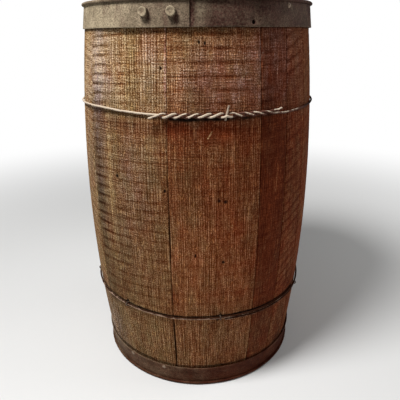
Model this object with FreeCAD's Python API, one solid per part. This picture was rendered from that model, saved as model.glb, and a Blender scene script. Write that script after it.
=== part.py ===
import FreeCAD, Part
import math
import os
from FreeCAD import Placement, Rotation, Vector

# A slack-cooperage keg: wide sawn staves, two beaded chime hoops, two wire hoops and two board heads.
# Millimetres. +Z is up, the origin is the middle of the footprint, and angles are degrees round the
# keg, counted from the front (-Y) towards +X.

# The shell
keg_height = 457.0
end_radius = 130.0          # over the stave corners at either end
bilge = 16.5                # how far the belly swells past the ends
stave_thickness = 12.0      # at the corners
face_radius = 168.0         # the sawn faces are flatter than the round they stand in
stave_widths = [102, 38, 39, 94, 92, 104, 88, 105, 95, 54, 112]   # round the belly, from the first joint
first_joint = -12.3
chime_bevel = 5.0

# The heads
croze_inset = 22.0          # middle of the groove, from the end of the staves
croze_width = 5.0
croze_depth = 3.5
head_thickness = 12.0
head_bevel = 11.0
head_fit = 0.25
boards_per_head = 3
dowel_radius = 2.5
dowel_length = 30.0
dowel_fit = 0.1
top_head_turn = 62.0
bottom_head_turn = 17.0

# The chime hoops
hoop_width = 27.5
hoop_sheet = 1.2
hoop_inset = 0.8
hoop_fit = 0.15
bead_radius = 1.6
bead_sink = 0.6             # how far the bead's round dips into the sheet
joggle = 4.0                # degrees over which the lap steps outwards
joggle_gap = 2.0            # from the covered end back to the joggle
tongue_clearance = 0.3      # from the end that shows to where the bead begins again
top_lap = (-30.0, -2.8)     # the covered end and the end that shows
top_rivets = [-21.4, -9.9]
top_nails = [44.0, 150.0, 262.0]
top_nail_row = 7.5
bottom_lap = (-192.2, -165.0)   # the bottom hoop lies the other way up: its angles are counted backwards
bottom_rivets = [-183.6, -172.1]
bottom_nails = [41.3, 19.6, -105.0, -150.0, -262.0]
bottom_nail_row = 23.8
rivet_row = 14.5            # from the end of the staves
rivet_head_radius = 4.7
rivet_proud = 4.8
rivet_rim = 1.0
rivet_dish = 0.5
rivet_shank_radius = 2.0
rivet_fit = 0.1
spare_hole = 23.8           # an empty nail hole in the top hoop
spare_hole_row = 23.4
spare_hole_radius = 1.9
nail_head_radius = 2.6
nail_head_height = 1.1
nail_radius = 0.9
nail_bite = 5.0             # how far it goes in past the stave corners' round
nail_fit = 0.1

# The wire hoops
wire_radius = 1.1
wire_fit = 0.15
bend_span = 6.0             # degrees between the bends of a wire's path
bend_slack = 0.3            # how far the bends stand out, so that their rounding clears the wood
upper_wire_height = 349.0
upper_wire_sway = [(33, -1.3), (40, -3.0), (48, -2.0), (66, 0), (295, 1.5), (313, 2.5), (335, 0.6), (344.4, 0)]
twist_start = -15.7
twist_middle = 11.5
twist_end = 33.0
left_half_turns = 6         # the two sides of the twist are wound opposite ways
right_half_turns = 4.5
points_per_half_turn = 4
left_twist_radius = 1.9     # from the middle of the twist to the middle of a strand, at its left end
right_twist_radius = 1.4    # and at its right end, where it is wound tighter
left_tail = 3.7             # degrees
right_tail = 3.8
tail_rise = 3.3
tail_lift = 0.2             # the tips spring this far off the round
stub_radius = 1.0
stub_above = 9.6
stub_below = 5.0
stub_lean = 14.0
stub_fit = 0.15
stub_reach = 2.4            # degrees over which the strands draw together again beside it
lower_wire_height = 109.0
lower_wire_start = 12.6
lower_wire_end = 62.0
lap_fit = 0.7
lap_runout = (71.0, 116.0)  # where the lower of the lapped ends climbs back to the hoop's height
staples = [-82.0, -39.0, 10.4, 66.0, 122.0, 180.0, 236.0]
staple_radius = 0.8
staple_bite = 6.0
staple_slack = 0.35         # from the wire to the inside of the staple's crown
staple_fit = 0.1

half_height = keg_height / 2
bow = (half_height ** 2 + bilge ** 2) / (2 * bilge)
joints = [first_joint + 360.0 * sum(stave_widths[:i]) / sum(stave_widths)
          for i in range(len(stave_widths) + 1)]


# ---- places on the keg

def corner_radius(z):
    """Outside radius over the stave corners at a height: a long arc from end to end."""
    return end_radius + bilge - bow + math.sqrt(bow ** 2 - (z - half_height) ** 2)


def inside_radius(z):
    return corner_radius(z) - stave_thickness


def place(theta, radius, z):
    """The point at an angle round the keg, a radius and a height."""
    return Vector(radius * math.sin(math.radians(theta)), -radius * math.cos(math.radians(theta)), z)


def turned_to(theta):
    """Carries what is drawn on +X to an angle round the keg."""
    return Placement(Vector(0, 0, 0), Rotation(Vector(0, 0, 1), theta - 90))


def axis_shift(half_angle):
    """How far behind the keg's axis a stave's face has its own centre."""
    belly = corner_radius(half_height)
    half_chord = belly * math.sin(math.radians(half_angle))
    return math.sqrt(face_radius ** 2 - half_chord ** 2) - belly * math.cos(math.radians(half_angle))


def face_sweep(half_angle, z):
    """Radius of a stave's face about its own centre at a height, so that it meets the corners' round."""
    across = corner_radius(z) * math.sin(math.radians(half_angle))
    along = corner_radius(z) * math.cos(math.radians(half_angle)) + axis_shift(half_angle)
    return math.hypot(along, across)


def face_reach(theta, z):
    """Distance from the keg's axis to the outside of the wood at an angle and a height."""
    for left, right in zip(joints, joints[1:]):
        offset = (theta - left) % 360
        if offset <= right - left:
            half_angle = (right - left) / 2
            lean = math.radians(offset - half_angle)
            shift = axis_shift(half_angle)
            sweep = face_sweep(half_angle, z)
            return math.sqrt(sweep ** 2 - (shift * math.sin(lean)) ** 2) - shift * math.cos(lean)
    return corner_radius(z)


def turn_over(shape):
    """Carries a piece of the bottom end to the top end."""
    return shape.mirror(Vector(0, 0, half_height), Vector(0, 0, 1))


def other_way_round(shape):
    """Carries a piece to the same angle on the other side of the front."""
    return shape.mirror(Vector(0, 0, 0), Vector(1, 0, 0))


# ---- outlines and sweeps

def outline(edges):
    return Part.Face(Part.Wire([edge.toShape() for edge in edges]))


def polygon(points):
    return Part.Face(Part.makePolygon([Vector(x, 0, z) for x, z in points + points[:1]]))


def line(a, b):
    return Part.LineSegment(Vector(a[0], 0, a[1]), Vector(b[0], 0, b[1]))


def arc(a, b, c):
    return Part.Arc(Vector(a[0], 0, a[1]), Vector(b[0], 0, b[1]), Vector(c[0], 0, c[1]))


def cap(radius, foot, top):
    """From a rim to the axis, rounded about a centre on the axis: a dome, or a dish when top is lower."""
    rise = top - foot
    ball = (radius ** 2 + rise ** 2) / (2 * rise)
    half_angle = math.asin(radius / abs(ball)) / 2
    middle = (abs(ball) * math.sin(half_angle), top - ball + ball * math.cos(half_angle))
    return arc((radius, foot), middle, (0, top))


def lathe(face, centre=Vector(0, 0, 0)):
    return face.revolve(centre, Vector(0, 0, 1), 360)


def swept(face, theta_from, theta_to):
    """A section drawn on +X, carried round the keg from one angle to another."""
    section = face.copy()
    section.Placement = turned_to(theta_from)
    return section.revolve(Vector(0, 0, 0), Vector(0, 0, 1), theta_to - theta_from)


def rounded_path(points):
    """Runs joined by tangent arcs, each arc reaching half of its shorter run from its corner."""
    edges = []
    here = points[0]
    for before, corner, after in zip(points, points[1:], points[2:]):
        inward = corner - before
        onward = after - corner
        cut = min(inward.Length, onward.Length) / 2
        half_turn = inward.getAngle(onward) / 2
        inward.normalize()
        onward.normalize()
        start = corner - inward * cut
        end = corner + onward * cut
        bisector = onward - inward
        bisector.normalize()
        radius = cut / math.tan(half_turn)
        middle = corner + bisector * (radius / math.cos(half_turn) - radius)
        if (start - here).Length > 0.01:
            edges.append(Part.makeLine(here, start))
            here = start
        edges.append(Part.Arc(here, middle, end).toShape())
        here = end
    edges.append(Part.makeLine(here, points[-1]))
    return Part.Wire(edges)


def wire(points, radius):
    """Round wire along a path, with its seam turned away from the keg."""
    path = rounded_path(points)
    onward = points[1] - points[0]
    section = Part.Wire(Part.makeCircle(radius, points[0], onward))
    section.rotate(points[0], onward, 90)
    return path.makePipeShell([section], True, False)


# ---- staves

def hollow():
    """The inside of the keg: the bilged bore, a croze groove near each end and the chime bevels."""
    bore = inside_radius
    groove_foot = croze_inset - croze_width / 2
    groove_top = croze_inset + croze_width / 2
    groove = bore(croze_inset) + croze_depth
    chime = (bore(0) + chime_bevel, 0)
    chime_foot = (bore(chime_bevel), chime_bevel)
    below = (chime_bevel + groove_foot) / 2
    above = (groove_top + half_height) / 2
    up = [line((0, 0), chime), line(chime, chime_foot),
          arc(chime_foot, (bore(below), below), (bore(groove_foot), groove_foot)),
          line((bore(groove_foot), groove_foot), (groove, groove_foot)),
          line((groove, groove_foot), (groove, groove_top)),
          line((groove, groove_top), (bore(groove_top), groove_top)),
            arc((bore(groove_top), groove_top), (bore(above), above), (bore(half_height), half_height)),
          line((bore(half_height), half_height), (0, half_height)),
          line((0, half_height), (0, 0))]
    half = lathe(outline(up))
    return half.fuse(turn_over(half)).removeSplitter()


def stave_blank(half_angle):
    """A stave's outside: its own flat-ish bilged face, between two planes through the keg's axis."""
    shift = axis_shift(half_angle)
    foot = (face_sweep(half_angle, 0) - shift, 0)
    middle = (face_sweep(half_angle, half_height) - shift, half_height)
    head = (face_sweep(half_angle, keg_height) - shift, keg_height)
    face = outline([line((-shift, 0), foot), arc(foot, middle, head),
                    line(head, (-shift, keg_height)), line((-shift, keg_height), (-shift, 0))])
    reach = 2 * (end_radius + bilge)
    across = reach * math.tan(math.radians(half_angle))
    wedge = Part.Face(Part.makePolygon([Vector(0, 0, 0), Vector(reach, -across, 0),
                                        Vector(reach, across, 0), Vector(0, 0, 0)]))
    return wedge.extrude(Vector(0, 0, keg_height)).common(lathe(face, Vector(-shift, 0, 0)))


def staves(holes):
    inside = hollow()
    made = []
    for left, right in zip(joints, joints[1:]):
        stave = stave_blank((right - left) / 2).cut(inside)
        stave.Placement = turned_to((left + right) / 2)
        made.append(stave.cut(holes).Solids[0])
    return made


# ---- heads

def across(radius, length, x, y):
    """A round rod along X with its middle at a spot in the head's plane."""
    return Part.makeCylinder(radius, length, Vector(x - length / 2, y, 0), Vector(1, 0, 0))


def head_boards(turn):
    """The bottom head's boards and dowels, the joints' run set by turn."""
    rim = croze_width / 2 - head_fit
    edge = inside_radius(croze_inset) + croze_depth - head_fit
    seat = inside_radius(croze_inset - croze_width / 2) - head_fit
    half = head_thickness / 2
    disc = lathe(polygon([(0, -half), (seat - head_bevel, -half), (seat, -rim), (edge, -rim),
                          (edge, rim), (seat, rim), (seat - head_bevel, half), (0, half)]))
    board_width = 2 * edge / boards_per_head
    seams = [board_width * i - edge for i in range(1, boards_per_head)]
    spots = [(x, y) for x in seams for y in (-edge / 2, edge / 2)]
    dowels = [across(dowel_radius, dowel_length, x, y) for x, y in spots]
    bores = Part.makeCompound([across(dowel_radius + dowel_fit, dowel_length + 2 * dowel_fit, x, y)
                               for x, y in spots])
    boards = []
    for i in range(boards_per_head):
        corner = Vector(board_width * i - edge, -edge, -half)
        slab = Part.makeBox(board_width, 2 * edge, head_thickness, corner)
        boards.append(disc.common(slab).cut(bores).Solids[0])
    for piece in boards + dowels:
        piece.Placement = Placement(Vector(0, 0, croze_inset), Rotation(Vector(0, 0, 1), turn)).multiply(
            piece.Placement)
    return boards, Part.makeCompound(dowels)


# ---- chime hoops, drawn at the bottom end

def band_radius(row):
    """Inside radius of the hoop's flared sheet, at a distance from the end of the staves."""
    low = corner_radius(hoop_inset)
    high = corner_radius(hoop_width)
    return low + (high - low) * (row - hoop_inset) / (hoop_width - hoop_inset) + hoop_fit


band_spread = band_radius(hoop_width) - band_radius(hoop_inset)
band_flare = math.degrees(math.atan2(band_spread, hoop_width - hoop_inset))
lap_step = hoop_sheet + hoop_fit


def sheet_section(step):
    low = band_radius(hoop_inset) + step
    high = band_radius(hoop_width) + step
    return polygon([(low, hoop_inset), (low + hoop_sheet, hoop_inset),
                    (high + hoop_sheet, hoop_width), (high, hoop_width)])


def beaded_section(step):
    """The flared sheet and the bead rolled outwards along its edge, as one outline."""
    row = hoop_inset + bead_radius
    centre = Vector(band_radius(row) + step + hoop_sheet + bead_radius - bead_sink, 0, row)
    bead = Part.Face(Part.Wire(Part.makeCircle(bead_radius, centre, Vector(0, 1, 0))))
    return sheet_section(step).fuse(bead).removeSplitter().Faces[0]


def stepped(theta_from, theta_to):
    """The beaded section carried outwards by the lap's step between two angles."""
    ends = []
    for step, theta in ((0, theta_from), (lap_step, theta_to)):
        ring = beaded_section(step).OuterWire.copy()
        ring.Placement = turned_to(theta)
        ends.append(ring)
    return Part.makeLoft(ends, True, True)


def on_band(theta, row, step):
    """Carries what stands on the XY plane to the outside of the sheet, standing square off it."""
    spin = turned_to(theta).Rotation
    tip = Rotation(Vector(0, 1, 0), 90 + band_flare)
    return Placement(place(theta, band_radius(row) + hoop_sheet + step, row), spin.multiply(tip))


def standing(shape, theta, row, step):
    piece = shape.copy()
    piece.Placement = on_band(theta, row, step)
    return piece


def rivet():
    """A rivet whose hammered head has a rounded rim and a shallow dish, and a shank through both sheets."""
    inset = rivet_rim * (1 - math.sqrt(0.5))
    flat = rivet_head_radius - rivet_rim
    foot = rivet_proud - rivet_rim
    dished = rivet_proud - rivet_dish
    tail = -2 * hoop_sheet - hoop_fit
    return lathe(outline([
        line((0, tail), (rivet_shank_radius, tail)),
        line((rivet_shank_radius, tail), (rivet_shank_radius, 0)),
        line((rivet_shank_radius, 0), (rivet_head_radius, 0)),
        line((rivet_head_radius, 0), (rivet_head_radius, foot)),
        arc((rivet_head_radius, foot), (rivet_head_radius - inset, rivet_proud - inset), (flat, rivet_proud)),
        cap(flat, rivet_proud, dished),
        line((0, dished), (0, tail))]))


def nail():
    """A round-headed nail, from its domed head to its blunt tip."""
    tip = -(hoop_sheet + hoop_fit + nail_bite)
    return lathe(outline([
        line((0, tip), (nail_radius / 2, tip)),
        line((nail_radius / 2, tip), (nail_radius, tip + 2 * nail_radius)),
        line((nail_radius, tip + 2 * nail_radius), (nail_radius, 0)),
        line((nail_radius, 0), (nail_head_radius, 0)),
        line((nail_head_radius, 0), (nail_head_radius, nail_head_height * 0.3)),
        cap(nail_head_radius, nail_head_height * 0.3, nail_head_height),
        line((0, nail_head_height), (0, tip))]))


def drilled(radius, reach):
    """A hole's tool, from outside the hoop to a depth."""
    return Part.makeCylinder(radius, 2 * hoop_sheet + reach, Vector(0, 0, -reach))


def chime_hoop(lap, holes):
    """The strip: a plain tongue under the lap, the beaded round, the joggle and the lapped end."""
    covered, shown = lap
    round_end = 360 + covered - joggle_gap - joggle
    lap_start = round_end + joggle
    tongue = swept(sheet_section(0), covered, shown + tongue_clearance)
    strip = tongue.fuse([swept(beaded_section(0), shown + tongue_clearance, round_end),
                         stepped(round_end, lap_start),
                         swept(beaded_section(lap_step), lap_start, 360 + shown)]).removeSplitter()
    return strip.cut(holes).Solids[0]


def fixed_hoop(lap, rivet_angles, nail_angles, nail_row, spare_holes):
    """A hoop for the bottom end with its rivets and nails, and the nails' holes in the wood."""
    through = 3 * hoop_sheet
    rivet_holes = [standing(drilled(rivet_shank_radius + rivet_fit, through), angle, rivet_row, lap_step)
                   for angle in rivet_angles]
    nail_hole = drilled(nail_radius + nail_fit, hoop_sheet + hoop_fit + nail_bite + nail_fit)
    nail_holes = [standing(nail_hole, angle, nail_row, 0) for angle in nail_angles]
    empty_holes = [standing(drilled(spare_hole_radius, through), angle, row, 0) for angle, row in spare_holes]
    hoop = chime_hoop(lap, Part.makeCompound(rivet_holes + nail_holes + empty_holes))
    rivets = [standing(rivet(), angle, rivet_row, lap_step) for angle in rivet_angles]
    nails = [standing(nail(), angle, nail_row, 0) for angle in nail_angles]
    return hoop, Part.makeCompound(rivets), Part.makeCompound(nails), nail_holes


# ---- wire hoops

def resting(theta, z):
    """Middle of a wire that lies on the wood, from the keg's axis."""
    return face_reach(theta, z) + wire_radius + wire_fit


def bends(theta_from, theta_to):
    """Where a wire's path bends: at the stave joints it passes, and evenly in between."""
    passed = [joint + turn for turn in (0, 360) for joint in joints[1:]]
    stops = [theta_from] + [a for a in passed if theta_from + 2 < a < theta_to - 2] + [theta_to]
    angles = []
    for left, right in zip(stops, stops[1:]):
        count = round((right - left) / bend_span) or 1
        angles += [left + (right - left) * i / count for i in range(count)]
    return angles + [theta_to]


def upper_wire_level(theta):
    """The tightened wire runs a little high or low on either side of its twist."""
    for (left, low), (right, high) in zip(upper_wire_sway, upper_wire_sway[1:]):
        if left <= theta <= right:
            return upper_wire_height + low + (high - low) * (theta - left) / (right - left)
    return upper_wire_height


def twist_phase(theta):
    """Angle of the first strand round the twist, wound one way up to the stub and back again after it."""
    if theta < twist_middle:
        return 180 + 180 * left_half_turns * (theta - twist_start) / (twist_middle - twist_start)
    wound = 180 + 180 * left_half_turns
    return wound - 180 * right_half_turns * (theta - twist_middle) / (twist_end - twist_middle)


def strand_offset(theta):
    """Middle of the twist to middle of a strand, wider at the stub, which passes between the strands."""
    share = (theta - twist_start) / (twist_end - twist_start)
    plain = left_twist_radius + (right_twist_radius - left_twist_radius) * share
    at_stub = stub_radius + wire_radius + stub_fit
    nearness = math.exp(-((theta - twist_middle) / stub_reach) ** 2)
    return plain + max(at_stub - plain, 0) * nearness


def strand_point(theta, extra_phase):
    """A corner of a strand's path: its rounding brings the strand in to strand_offset."""
    offset = strand_offset(theta)
    corner = offset / math.cos(math.radians(90 / points_per_half_turn))
    phase = math.radians(twist_phase(theta) + extra_phase)
    axis = resting(theta, upper_wire_height) + offset
    return place(theta, axis + corner * math.cos(phase), upper_wire_height + corner * math.sin(phase))


def strand(extra_phase):
    left_points = int(points_per_half_turn * left_half_turns)
    right_points = int(points_per_half_turn * right_half_turns)
    left = [twist_start + (twist_middle - twist_start) * i / left_points for i in range(left_points)]
    right = [twist_middle + (twist_end - twist_middle) * i / right_points for i in range(right_points + 1)]
    return [strand_point(theta, extra_phase) for theta in left + right]


def tail(theta, along, rise):
    """A free end of the twist: its bend, half of the way along, and its tip."""
    outer = resting(theta, upper_wire_height) + 2 * strand_offset(theta)
    return [place(theta + along / 2, outer, upper_wire_height + 0.55 * rise),
            place(theta + along, outer + tail_lift, upper_wire_height + rise)]


def upper_wire():
    """One wire: a free tail, the outer strand, the round behind the keg, the inner strand, a free tail."""
    behind = [place(angle, resting(angle, upper_wire_height) + bend_slack, upper_wire_level(angle))
              for angle in bends(twist_end + 3, 360 + twist_start - 3)]
    first = tail(twist_start, -left_tail, -tail_rise)[::-1]
    last = tail(twist_end, right_tail, tail_rise)
    return wire(first + strand(180) + behind + strand(0) + last, wire_radius)


def tightening_stub():
    """The short rod that tightened the twist, standing between the two strands."""
    axis = resting(twist_middle, upper_wire_height) + strand_offset(twist_middle)
    lean = math.tan(math.radians(stub_lean))
    turn_per_rise = math.degrees(lean / axis)
    foot = place(twist_middle - stub_below * turn_per_rise, axis, upper_wire_height - stub_below)
    tip = place(twist_middle + stub_above * turn_per_rise, axis, upper_wire_height + stub_above)
    rod = tip - foot
    return Part.makeCylinder(stub_radius, rod.Length, foot, rod)


def lower_wire_level(theta):
    """The start of the wire lies under its far end, and climbs to the hoop's height past the lap."""
    low, high = lap_runout
    climbed = min(max((theta - low) / (high - low), 0), 1)
    return lower_wire_height - (2 * wire_radius + lap_fit) * (1 - climbed)


def lower_wire():
    """One wire a little over once round, its ends side by side."""
    return wire([place(angle, resting(angle, lower_wire_height) + bend_slack, lower_wire_level(angle))
                 for angle in bends(lower_wire_start, 360 + lower_wire_end)], wire_radius)


def staple(theta):
    """A staple astride the lower wire, and the holes of its legs."""
    spread = wire_radius + staple_radius + staple_fit
    crown = resting(theta, lower_wire_height) + staple_slack
    height = lower_wire_level(theta if theta > lower_wire_start else theta + 360)
    tip = face_reach(theta, height) - staple_bite
    ends = [place(theta, tip, height - spread), place(theta, tip, height + spread)]
    shoulders = [place(theta, crown, height - spread), place(theta, crown, height + spread)]
    bend = Part.Arc(shoulders[0], place(theta, crown + spread, height), shoulders[1]).toShape()
    path = Part.Wire([Part.makeLine(ends[0], shoulders[0]), bend, Part.makeLine(shoulders[1], ends[1])])
    outward = shoulders[0] - ends[0]
    section = Part.Wire(Part.makeCircle(staple_radius, ends[0], outward))
    outward.normalize()
    bore = staple_radius + staple_fit
    holes = [Part.makeCylinder(bore, 2 * staple_bite, end - outward * staple_fit, outward) for end in ends]
    return path.makePipeShell([section], True, False), holes


# ---- the keg

def build():
    nodes = {}
    hoop, rivets, nails, nail_holes = fixed_hoop(top_lap, top_rivets, top_nails, top_nail_row,
                                                 [(spare_hole, spare_hole_row)])
    nodes["top_hoop"] = turn_over(hoop)
    nodes["top_hoop_rivets"] = turn_over(rivets)
    nodes["top_hoop_nails"] = turn_over(nails)
    holes = [turn_over(hole) for hole in nail_holes]

    hoop, rivets, nails, nail_holes = fixed_hoop(bottom_lap, bottom_rivets, bottom_nails, bottom_nail_row, [])
    nodes["bottom_hoop"] = other_way_round(hoop)
    nodes["bottom_hoop_rivets"] = other_way_round(rivets)
    nodes["bottom_hoop_nails"] = other_way_round(nails)
    holes += [other_way_round(hole) for hole in nail_holes]

    nodes["upper_wire_hoop"] = upper_wire()
    nodes["tightening_stub"] = tightening_stub()
    nodes["lower_wire_hoop"] = lower_wire()
    stapled = [staple(theta) for theta in staples]
    nodes["lower_wire_staples"] = Part.makeCompound([piece for piece, _ in stapled])
    holes += [hole for _, pair in stapled for hole in pair]

    for number, stave in enumerate(staves(Part.makeCompound(holes)), 1):
        nodes["stave_%02d" % number] = stave

    for end, turn in (("bottom", bottom_head_turn), ("top", top_head_turn)):
        boards, dowels = head_boards(turn)
        if end == "top":
            boards = [turn_over(board) for board in boards]
            dowels = turn_over(dowels)
        for number, board in enumerate(boards, 1):
            nodes["%s_head_board_%d" % (end, number)] = board
        nodes["%s_head_dowels" % end] = dowels
    return nodes


os.makedirs("parts", exist_ok=True)
for name, shape in build().items():
    shape.exportStep("parts/%s.step" % name)
    print(name, "valid" if shape.isValid() else "NOT VALID", len(shape.Solids), "solids",
          round(shape.Volume / 1000, 2), "cm3")
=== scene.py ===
import bpy
import math
import numpy as np
from mathutils import Matrix, Vector


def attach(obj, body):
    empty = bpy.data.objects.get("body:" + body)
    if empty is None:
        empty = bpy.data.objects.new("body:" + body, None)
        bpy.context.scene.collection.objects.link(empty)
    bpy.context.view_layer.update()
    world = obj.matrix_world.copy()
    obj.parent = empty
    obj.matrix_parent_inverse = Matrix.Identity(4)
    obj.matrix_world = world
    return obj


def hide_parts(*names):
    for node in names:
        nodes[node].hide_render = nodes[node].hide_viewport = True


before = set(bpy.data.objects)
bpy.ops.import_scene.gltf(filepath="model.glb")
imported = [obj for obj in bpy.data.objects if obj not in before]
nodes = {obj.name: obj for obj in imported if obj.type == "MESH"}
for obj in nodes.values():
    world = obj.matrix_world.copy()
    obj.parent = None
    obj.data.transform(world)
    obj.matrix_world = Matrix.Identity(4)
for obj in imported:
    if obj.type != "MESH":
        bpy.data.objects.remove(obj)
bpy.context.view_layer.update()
print("frame loaded:", len(nodes), "nodes")

# Metres. Angles are degrees round the keg, counted from the front (-Y) towards +X.


# noise and easing

def ease(t):
    return t * t * (3 - 2 * t)


def smoothStep(low, high, value):
    # 0 below low, 1 above high, eased between them
    return ease(np.clip((value - low) / (high - low), 0, 1))


def turnFrom(angle, theta):
    # degrees from one angle to another, the short way round: from -180 to 180
    return (theta - angle + 180) % 360 - 180


def lengthAlong(path):
    # how far along a run of straight lines each of its points lies
    return np.insert(np.cumsum(np.linalg.norm(np.diff(path, axis=0), axis=1)), 0, 0)


def evenly(path, count):
    # points evenly spaced along the same run of lines
    path = np.array(path, float)
    along = lengthAlong(path)
    at = np.linspace(0, along[-1], count)
    return np.stack([np.interp(at, along, path[:, axis]) for axis in range(path.shape[1])], 1)


def cornerValue(i, j, seed):
    # a fixed random number from -1 to 1 for each whole-number corner
    mixed = (i * 374761393 + j * 668265263 + seed * 362437) & 0xffffffff
    mixed = ((mixed ^ (mixed >> 13)) * 1274126177) & 0xffffffff
    mixed = ((mixed ^ (mixed >> 16)) * 2246822519) & 0xffffffff
    return (mixed ^ (mixed >> 15)) / 2147483647.5 - 1


def mottle(u, v, seed):
    # smooth noise: the random numbers at the four corners round (u, v), eased between them
    u, v = np.broadcast_arrays(u, v)
    i = np.floor(u).astype(np.int64)
    j = np.floor(v).astype(np.int64)
    a = ease(u - i)
    b = ease(v - j)
    low = cornerValue(i, j, seed) * (1 - a) + cornerValue(i + 1, j, seed) * a
    high = cornerValue(i, j + 1, seed) * (1 - a) + cornerValue(i + 1, j + 1, seed) * a
    return low * (1 - b) + high * b


def roughNoise(u, v, seed, octaves=3):
    # mottle added to itself at doubled frequency and half the strength
    total = 0
    for octave in range(octaves):
        total = total + mottle(u * 2 ** octave, v * 2 ** octave, seed + 31 * octave) / 2 ** octave
    return total / (2 - 2 ** (1 - octaves))


def bump(theta, z, spot):
    # 1 at the middle of a spot, falling away round it; a spot is (angle, height, half width, half height)
    angle, height, halfWidth, halfHeight = spot
    across = np.radians(turnFrom(angle, theta)) * shell["belly"]
    return np.exp(-(across / halfWidth) ** 2 - ((z - height) / halfHeight) ** 2)


# meshes

def addMesh(name, points, faces, fields):
    mesh = bpy.data.meshes.new(name)
    mesh.from_pydata(points, [], faces)
    for fieldName, values in fields.items():
        flat = np.asarray(values, np.float32).ravel()
        if len(flat) == len(points):
            mesh.attributes.new(fieldName, "FLOAT", "POINT").data.foreach_set("value", flat)
        else:
            mesh.attributes.new(fieldName, "FLOAT_VECTOR", "POINT").data.foreach_set("vector", flat)
    mesh.shade_smooth()
    mesh.set_sharp_from_angle(angle=math.radians(40))
    piece = bpy.data.objects.new(name, mesh)
    bpy.context.scene.collection.objects.link(piece)
    return piece


def closedTube(rings):
    # Rings is an array of closed loops, one after the other: neighbours are joined by quads and each
    # end is closed by its own loop. The volume's sign tells which way round the faces have to run.
    count, sides = rings.shape[:2]
    index = np.arange(count * sides).reshape(count, sides)
    beside = np.roll(index, -1, axis=1)
    quads = np.stack([index[:-1], beside[:-1], beside[1:], index[1:]], -1).reshape(-1, 4)
    points = rings.reshape(-1, 3)
    corner = points[quads]
    volume = (np.cross(corner[:, 1] - corner[:, 0], corner[:, 2] - corner[:, 0]) * corner[:, 0]).sum()
    volume += (np.cross(corner[:, 2] - corner[:, 0], corner[:, 3] - corner[:, 0]) * corner[:, 0]).sum()
    faces = quads.tolist() + [index[0, ::-1].tolist(), index[-1].tolist()]
    if volume < 0:
        faces = [face[::-1] for face in faces]
    return points, faces


def tubes(name, parts):
    # one object from any number of closed tubes, each given as its rings and its fields
    points = []
    faces = []
    for rings, fields in parts:
        there, around = closedTube(rings)
        faces += [[corner + len(points) for corner in face] for face in around]
        points += there.tolist()
    allFields = {}
    for key in parts[0][1]:
        flat = [fields[key].reshape(rings[..., 0].size, -1) for rings, fields in parts]
        allFields[key] = np.concatenate(flat)
    return addMesh(name, points, faces, allFields)


def tube(name, rings, fields):
    return tubes(name, [(rings, fields)])


def finishPiece(piece, material, replaced):
    piece.data.materials.append(material)
    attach(piece, "root")
    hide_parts(*replaced)


# the keg's form

def vertices(name):
    count = len(nodes[name].data.vertices)
    flat = np.zeros(count * 3, np.float32)
    nodes[name].data.vertices.foreach_get("co", flat)
    return flat.reshape(count, 3).astype(float)


def spanOf(name):
    # the angles of a stave's two joints, from its own corners
    points = vertices(name)
    centre = points.mean(0)
    middle = math.degrees(math.atan2(centre[0], -centre[1]))
    away = turnFrom(middle, np.degrees(np.arctan2(points[:, 0], -points[:, 1])))
    return middle + away.min(), middle + away.max()


staveNames = sorted(name for name in nodes if name.startswith("stave_"))
allStaves = np.concatenate([vertices(name) for name in staveNames])
reach = np.hypot(allStaves[:, 0], allStaves[:, 1])
shell = {
    "height": allStaves[:, 2].max(),
    "belly": reach.max(),
    "end": reach[allStaves[:, 2] < 0.0001].max(),
    "thickness": 0.012,
    "faceRadius": 0.168,      # the sawn faces are flatter than the round they stand in
    "bevel": 0.005,
    "crozeInset": 0.022,
    "crozeWidth": 0.005,
    "crozeDepth": 0.0035,
}
half = shell["height"] / 2
bilge = shell["belly"] - shell["end"]
bow = (half ** 2 + bilge ** 2) / (2 * bilge)
spans = {name: spanOf(name) for name in staveNames}


def cornerRadius(z):
    # outside radius over the stave corners: a long arc from end to end
    return shell["belly"] - bow + np.sqrt(bow ** 2 - (z - half) ** 2)


def place(theta, radius, z):
    # the point at an angle round the keg, a distance from its axis and a height
    angle = np.radians(theta)
    return np.stack(np.broadcast_arrays(radius * np.sin(angle), -radius * np.cos(angle), z), -1)


def faceRadiusAt(name, theta, z):
    # distance from the keg's axis to a stave's flat-ish face, whose own centre lies behind the axis
    left, right = spans[name]
    halfAngle = math.radians((right - left) / 2)
    belly = shell["belly"]
    halfWidth = belly * math.sin(halfAngle)
    shift = math.sqrt(shell["faceRadius"] ** 2 - halfWidth ** 2) - belly * math.cos(halfAngle)
    corner = cornerRadius(z)
    sweep = np.hypot(corner * math.cos(halfAngle) + shift, corner * math.sin(halfAngle))
    lean = np.radians(theta - (left + right) / 2)
    return np.sqrt(sweep ** 2 - (shift * np.sin(lean)) ** 2) - shift * np.cos(lean)


def woodRadius(theta, z):
    # the same for any angles, each from whichever stave stands there
    radius = cornerRadius(z) + 0 * theta
    for name, (left, right) in spans.items():
        along = (theta - left) % 360
        radius = np.where(along <= right - left, faceRadiusAt(name, left + along, z), radius)
    return radius


# material building

def nodeTree(name):
    material = bpy.data.materials.new(name)
    material.use_nodes = True
    tree = material.node_tree
    return material, tree, tree.nodes["Principled BSDF"]


def plug(tree, socket, value):
    # a socket takes another node's output, a number or a colour
    if isinstance(value, bpy.types.NodeSocket):
        tree.links.new(value, socket)
    elif isinstance(value, tuple):
        socket.default_value = (*value, 1) if len(value) == 3 and socket.type == "RGBA" else value
    else:
        socket.default_value = value


def field(tree, name):
    node = tree.nodes.new("ShaderNodeAttribute")
    node.attribute_name = name
    return node.outputs["Fac"]


def figure(tree, operation, a, b=0.0, c=None, clamp=False):
    node = tree.nodes.new("ShaderNodeMath")
    node.operation = operation
    node.use_clamp = clamp
    plug(tree, node.inputs[0], a)
    plug(tree, node.inputs[1], b)
    if c is not None:
        plug(tree, node.inputs[2], c)
    return node.outputs[0]


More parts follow.
